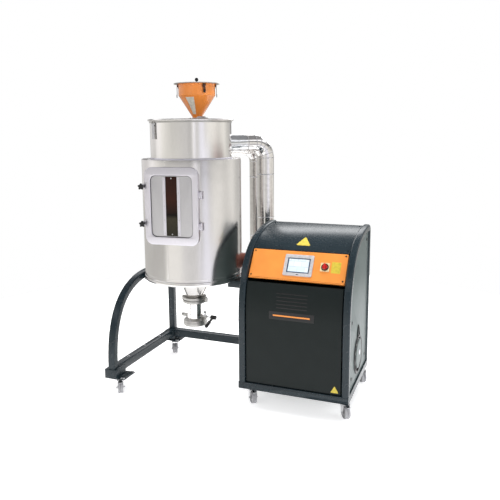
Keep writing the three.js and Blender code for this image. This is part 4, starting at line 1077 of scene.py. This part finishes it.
# ---------------------------------------------------------------- ducts
def bent(corners, bend, steps):
    """Points along straight runs joined by segmented bends."""
    points = [Vector(c) for c in corners]
    result = [points[0]]
    for i in range(1, len(points) - 1):
        back = (points[i - 1] - points[i]).normalized()
        ahead = (points[i + 1] - points[i]).normalized()
        half = back.angle(ahead) / 2
        reach = bend / math.tan(half)
        centre = points[i] + (back + ahead).normalized() * bend / math.sin(half)
        start = points[i] + back * reach - centre
        end = points[i] + ahead * reach - centre
        axis = start.cross(end).normalized()
        for step in range(steps + 1):
            rotation = Matrix.Rotation(start.angle(end) * step / steps, 3, axis)
            result.append(centre + rotation @ start)
    return [*result, points[-1]]


def bead_at(point, along, radius, width, proud):
    """A raised bead round a pipe."""
    half = width / 2
    profile = [(radius - 1, -half), (radius, -half), (radius + proud, -half * 0.4),
               (radius + proud, half * 0.4),
               (radius, half), (radius - 1, half)]
    direction = along.normalized().to_track_quat("Z", "Y").to_matrix().to_4x4()
    return placed(lathe(profile, 64), Matrix.Translation(point) @ direction)


def vessel_core(z):
    """The vessel's inside round a height, to cut a duct's end to its wall."""
    return placed(rod(VESSEL_R + 1.4, 500, 0.1, 128), move(HOPPER_X, HOPPER_Y, z - 250))


def build_ducts():
    c, s = math.cos(DUCT_AZIMUTH), math.sin(DUCT_AZIMUTH)
    r = DUCT_R - 1.5
    runs = (("front", 0, 1692, 612, 700, 190), ("rear", 160, 1662, 640, 400, 90))
    for name, offset, high, reach, low, start in runs:
        def spot(distance, z):
            return (HOPPER_X + distance * c - offset * s, HOPPER_Y + distance * s + offset * c, z)

        corner = spot(reach, high)
        corners = [spot(start, high), corner, (*corner[:2], low), (180, corner[1], low), (180, 654.4, low)]
        path = bent(corners, 110, 5)
        ring = circle(r, 64)
        pipe = sweep(ring, path, (0, 0, 1))
        wall = math.sqrt((VESSEL_R + 2) ** 2 - offset ** 2)
        piece(f"duct_{name}", carved(pipe, vessel_core(high)), LAYOUT, "machine", CLADDING,
              [f"air_duct_{name}"], angle=12)
        beads = [bead_at(path[i], path[i + 1] - path[i - 1], r, 7, 1.1) for i in range(1, len(path) - 1)]
        for z in (high - 232, (high + low) / 2 - 60):
            beads.append(bead_at(Vector((*corner[:2], z)), Vector((0, 0, 1)), r, 8, 1.2))
        foil_end = wall + 150
        beads.append(bead_at(Vector(spot(foil_end, high)), Vector((c, s, 0)), r, 8, 1.2))
        piece(f"duct_beads_{name}", together(*beads), LAYOUT, "machine", ZINC)
        sleeve = sweep(circle(r + 0.9, 64), [spot(start, high), spot(foil_end - 12, high)], (0, 0, 1))
        piece(f"duct_foil_{name}", carved(sleeve, vessel_core(high)), LAYOUT, "machine", FOIL)
        screws = []
        for z in range(int(low) + 160, int(high) - 260, 130):
            place = on_cylinder(r, -60, z)
            screws.append(placed(screw(3, 2), move(corner[0], corner[1], 0) @ place))
        piece(f"duct_screws_{name}", together(*screws), LAYOUT, "machine", ZINC)


def build_link():
    end = SIDE_FACE - 0.8
    length = end - LINK_START
    profile = []
    ribs = 7
    for k in range(ribs * 4 + 1):
        profile.append((53.4 + 1.4 * math.cos(k * math.pi / 2), length * k / (ribs * 4)))
    profile += [(50, length), (50, 0)]
    tube = placed(lathe(profile, 72), move(LINK_START, LINK_Y, LINK_Z) @ turn(90, "Y"))
    core = placed(rod(JACKET_R + 0.6, 500, 0.1, 180), move(HOPPER_X, HOPPER_Y, 650))
    piece("hot_air_sleeve", carved(tube, core), LAYOUT, "machine", SILICONE, ["hot_air_link"])
    clamp = lathe([(53, 0), (55, 0), (55, 10), (53, 10)], 72)
    piece("hot_air_clamp", placed(clamp, move(end - 16, LINK_Y, LINK_Z) @ turn(90, "Y")), LAYOUT, "machine",
          ZINC)


# ---------------------------------------------------------------- stand
def build_stand():
    softened("stand_base", 3, ANTHRACITE)
    softened("hopper_bracket", 3, ANTHRACITE)
    line = 753
    foot, front, rear, corner = 186.4, -150, 700, 60
    curve = [(front, foot + 20), (front, foot + 475), (105, line), (350, line)]
    side_view = [(front, foot), *bezier(curve, 40), *shoulder(rear, line, corner, 10), (rear, 200.4)]
    path = [(STAND_X, *point) for point in side_view]
    arm = sweep(rectangle(50, 50, 8), path, (1, 0, 0))
    bracket = block((STAND_X + 15, HOPPER_Y - 60, 710), (STAND_X + 100, HOPPER_Y + 60, 757.6), 3)
    piece("stand_arch", together(arm, bracket), LAYOUT, "machine", ANTHRACITE, ["stand_arm"])
    pads = [block((x0, HOPPER_Y - 52, 757.4), (x1, HOPPER_Y + 52, 757.9), 0.1)
            for x0, x1 in ((-850, -774), (-186, -110))]
    piece("bracket_pads", together(*pads), LAYOUT, "machine", RUBBER)
    bolts = [placed(hexagon_bolt(13, 7), move(x, y, 200)) for x in (STAND_X,) for y in (40, 260, 480)]
    feet = [placed(hexagon_bolt(12, 6), move(x, y, 120)) for x in (-806, -790) for y in (-150, -30, 630, 735)]
    piece("stand_bolts", together(*bolts, *feet), LAYOUT, "machine", ZINC)
    cap = block((STAND_X - 22, -180.2 + 0.4, 122), (STAND_X + 22, -177, 184), 1.2)
    piece("foot_cap", cap, LAYOUT, "machine", BLACK)


# ---------------------------------------------------------------- castors
def castor_fork(braked):
    """The fork of a castor that trails along +X, its swivel axis on Z."""
    cheek = rounded([(-18, 96), (38, 96), (40, 62), (33, 29), (19, 29), (10, 42)], 7, 4)
    cheeks = [placed(plate([cheek], 3, 0.8), move(0, y + 3, 0) @ UPRIGHT) for y in (-24, 21)]
    crown = block((-20, -24, 91), (40, 24, 96), 1.6)
    race = turned([(0, 96), (24, 96), (25, 100), (22, 106), (24, 109), (22, 113.4), (0, 113.4)], 2, 3, 40)
    nuts = [placed(hexagon_bolt(11, 5), move(26, y, 40) @ turn(t, "X")) for y, t in ((-24, 90), (24, -90))]
    pin = placed(rod(4.5, 48, 0.3, 20), move(26, 24, 40) @ UPRIGHT)
    parts = [*cheeks, crown, race, *nuts, pin]
    if braked:
        pedal = sweep(rectangle(24, 3, 1), [(36, 0, 94), (52, 0, 92), (66, 0, 87), (73, 0, 88)], (0, 1, 0))
        parts.append(pedal)
    return together(*parts)


def castor_wheel():
    """Tread and core of a wheel about its own axle, along Y."""
    tread = lathe(rounded([(31, -16), (38, -17.5), (40, -14), (40, -3), (36, -1.5), (36, 1.5), (40, 3),
                           (40, 14), (38, 17.5), (31, 16)], 1.4, 3), 72)
    core = lathe(rounded([(6, -18), (11, -18), (12, -12), (27, -11), (31.2, -15), (31.2, 15), (27, 11),
                          (12, 12), (11, 18), (6, 18)], 1.5, 3), 72)
    across = move(26, 0, 40) @ turn(90, "X")
    return placed(tread, across), placed(core, across)


def build_castors():
    spots = {"stand_front": (-856, -95, True), "stand_rear": (-856, 690, False),
             "cabinet_front_left": (58, 76, True), "cabinet_front_right": (675, 76, True),
             "cabinet_rear_left": (58, 650, False), "cabinet_rear_right": (675, 650, False)}
    for name, (x, y, braked) in spots.items():
        castor = f"castor_{name}"
        place = LAYOUT @ move(x, y, 0) @ turn(-55, "Z")
        piece(f"{castor}_housing", castor_fork(braked), place, f"{castor}_swivel", ZINC, [f"{castor}_fork"])
        tread, core = castor_wheel()
        piece(f"{castor}_tread", tread, place, f"{castor}_roller", TREAD, [f"{castor}_wheel"])
        piece(f"{castor}_core", core, place, f"{castor}_roller", WHEEL_CORE)


# ---------------------------------------------------------------- air treatment inside the cabinet
def build_inside():
    for node, look, body in (("blower_housing", CAST, "machine"),
                             ("blower_impeller", VESSEL_STEEL, "impeller"),
                             ("desiccant_canister", VESSEL_STEEL, "machine")):
        softened(node, 0.8, look, body)


FOOT_PLATE = moulded("feeder_foot_plate", "feeder_paint", (0.42, 0.3, 0.26), 0.35)
BROWN_LATCH = moulded("dark_latch", "zinc_steel", (0.06, 0.02, 0.01), 0.35)
build_jacket()
build_vessel()
build_lid()
build_hatch()
build_lid_latches()
build_feeder()
build_outlet()
build_ducts()
build_link()
build_stand()
build_castors()
build_inside()


# ---------------------------------------------------------------- camera, light and floor
def aim(made, place, target):
    made.location = place
    made.rotation_euler = (Vector(target) - Vector(place)).to_track_quat("-Z", "Y").to_euler()


def build_camera():
    """The camera, by its place from the layout's origin and its three angles."""
    camera = into_scene("camera", bpy.data.cameras.new("camera"))
    camera.data.lens = CAMERA_LENS
    camera.data.sensor_width = 36
    camera.data.shift_y = CAMERA_SHIFT
    camera.data.clip_end = 60
    yaw, pitch, roll = (math.radians(angle) for angle in CAMERA_ANGLES)
    ahead = Vector((-math.sin(yaw) * math.cos(pitch), math.cos(yaw) * math.cos(pitch), -math.sin(pitch)))
    level = Vector((math.cos(yaw), math.sin(yaw), 0))
    up = level.cross(ahead)
    right = level * math.cos(roll) + up * math.sin(roll)
    above = up * math.cos(roll) - level * math.sin(roll)
    basis = Matrix((right, above, -ahead)).transposed().to_4x4()
    camera.matrix_world = Matrix.Translation(Vector(CAMERA_PLACE) + ORIGIN) @ basis
    bpy.context.scene.camera = camera


def soft_box(name, place, target, size, power, color=(1, 1, 1), glossy=True):
    light = bpy.data.lights.new(name, "AREA")
    light.shape = "RECTANGLE"
    light.size, light.size_y = size
    light.energy = power
    light.color = color
    made = into_scene(name, light)
    made.visible_camera = False
    made.visible_glossy = glossy
    aim(made, place, target)


def build_studio():
    """A pale floor and soft lights."""
    low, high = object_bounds()
    middle = (Vector(low) + Vector(high)) / 2
    mesh = mesh_of(plate([circle(3.4, 96)], 0.01), "floor")
    mesh.transform(move(middle.x, middle.y, -0.01))
    pale = Look("floor_paper", "", 0.7)
    pale.color(pale.ramp(pale.noise(3), [(0, (0.88, 0.88, 0.88)), (1, (0.9, 0.9, 0.9))]))
    pale.shader.inputs["Emission Color"].default_value = (1, 1, 1, 1)
    pale.shader.inputs["Emission Strength"].default_value = 0.55
    mesh.materials.append(pale.data)
    into_scene("floor", mesh)
    soft_box("top_light", (0.2, 0.6, 4.4), (0, 0, 0.6), (3.4, 2.6), 190, glossy=False)
    soft_box("right_light", (4.2, -0.2, 1.9), (0, 0, 0.8), (2.4, 2.6), 60, (0.95, 0.98, 1), glossy=False)
    soft_box("front_light", (-1.2, -4.4, 2.6), (0, 0, 0.8), (2.6, 2.0), 45, (1, 0.98, 0.95), glossy=False)
    soft_box("rear_strip", (-0.6, 3.8, 3.1), (0.45, 0, 1.13), (4.6, 1.3), 46)


# The room that the steel reflects: (azimuth in degrees, level, tint), above and below eye height.
WARM, COOL, RUST, PLAIN = (1.0, 0.985, 0.94), (0.97, 0.97, 1.06), (1.12, 0.8, 0.78), (1.0, 0.985, 0.975)
UPPER_WALLS = [(-180, 1.0, PLAIN), (-163, 1.15, PLAIN), (-148, 1.0, WARM), (-133, 0.85, WARM),
               (-118, 0.68, WARM), (-74, 0.68, PLAIN), (-67, 0.55, PLAIN), (-61, 0.62, PLAIN),
               (-58, 1.25, PLAIN), (-54, 1.2, COOL), (-50, 0.72, PLAIN), (-44, 0.74, PLAIN),
               (-38, 1.02, COOL), (-30, 1.05, COOL), (-24, 0.86, PLAIN), (-14, 1.02, WARM),
               (2, 1.04, WARM), (18, 0.86, WARM), (42, 1.0, WARM), (58, 0.7, WARM), (84, 0.5, PLAIN),
               (96, 0.2, PLAIN), (120, 0.2, PLAIN), (140, 0.8, PLAIN)]
LOWER_WALLS = [(-180, 0.55, WARM), (-134, 0.55, WARM), (-125, 1.05, WARM), (-96, 1.02, WARM),
               (-83, 0.8, PLAIN), (-56, 0.7, PLAIN), (-42, 0.95, COOL), (-30, 1.12, COOL),
               (-15, 1.0, COOL), (-5, 0.62, PLAIN), (9, 0.4, RUST), (20, 0.2, RUST), (34, 0.28, RUST),
               (46, 0.8, WARM), (80, 0.72, WARM), (130, 0.6, WARM)]
# Above the walls: (Z of the direction, level) from a dim ceiling to one bright strip and back.
SKY_TINT = (1, 1, 1.03)
SKY = [(0.3, 0.14), (0.38, 0.14), (0.44, 1.5), (0.56, 1.5), (0.64, 0.3), (1.0, 0.3)]


def build_world():
    """White behind the object, and walls of light and grey round it that the steel reflects."""
    world = bpy.data.worlds.new("studio")
    bpy.context.scene.world = world
    room = Nodes(world)
    split = room.node("ShaderNodeSeparateXYZ")
    room.link(room.node("ShaderNodeTexCoord").outputs["Generated"], split.inputs["Vector"])
    azimuth = room.node("ShaderNodeMath", operation="ARCTAN2")
    room.link(split.outputs["Y"], azimuth.inputs[0])
    room.link(split.outputs["X"], azimuth.inputs[1])
    around = room.span(azimuth.outputs["Value"], From_Min=-math.pi, From_Max=math.pi)
    height = split.outputs["Z"]

    def walls(stops):
        return room.ramp(around, [((degrees + 180) / 360, scaled(tint, level))
                                  for degrees, level, tint in stops])

    eye_height = room.span(height, From_Min=-0.09, From_Max=-0.05)
    both = room.mix(eye_height, walls(LOWER_WALLS), walls(UPPER_WALLS))
    sky = room.ramp(height, [(z, scaled(SKY_TINT, level)) for z, level in SKY])
    reflected = room.mix(room.span(height, From_Min=0.12, From_Max=0.3), both, sky)
    seen = room.node("ShaderNodeLightPath").outputs["Is Camera Ray"]
    room.link(room.mix(seen, reflected, (1, 1, 1, 1)), room.tree.nodes["Background"].inputs["Color"])
    bpy.context.scene.view_settings.view_transform = "Standard"


build_camera()
build_studio()
build_world()
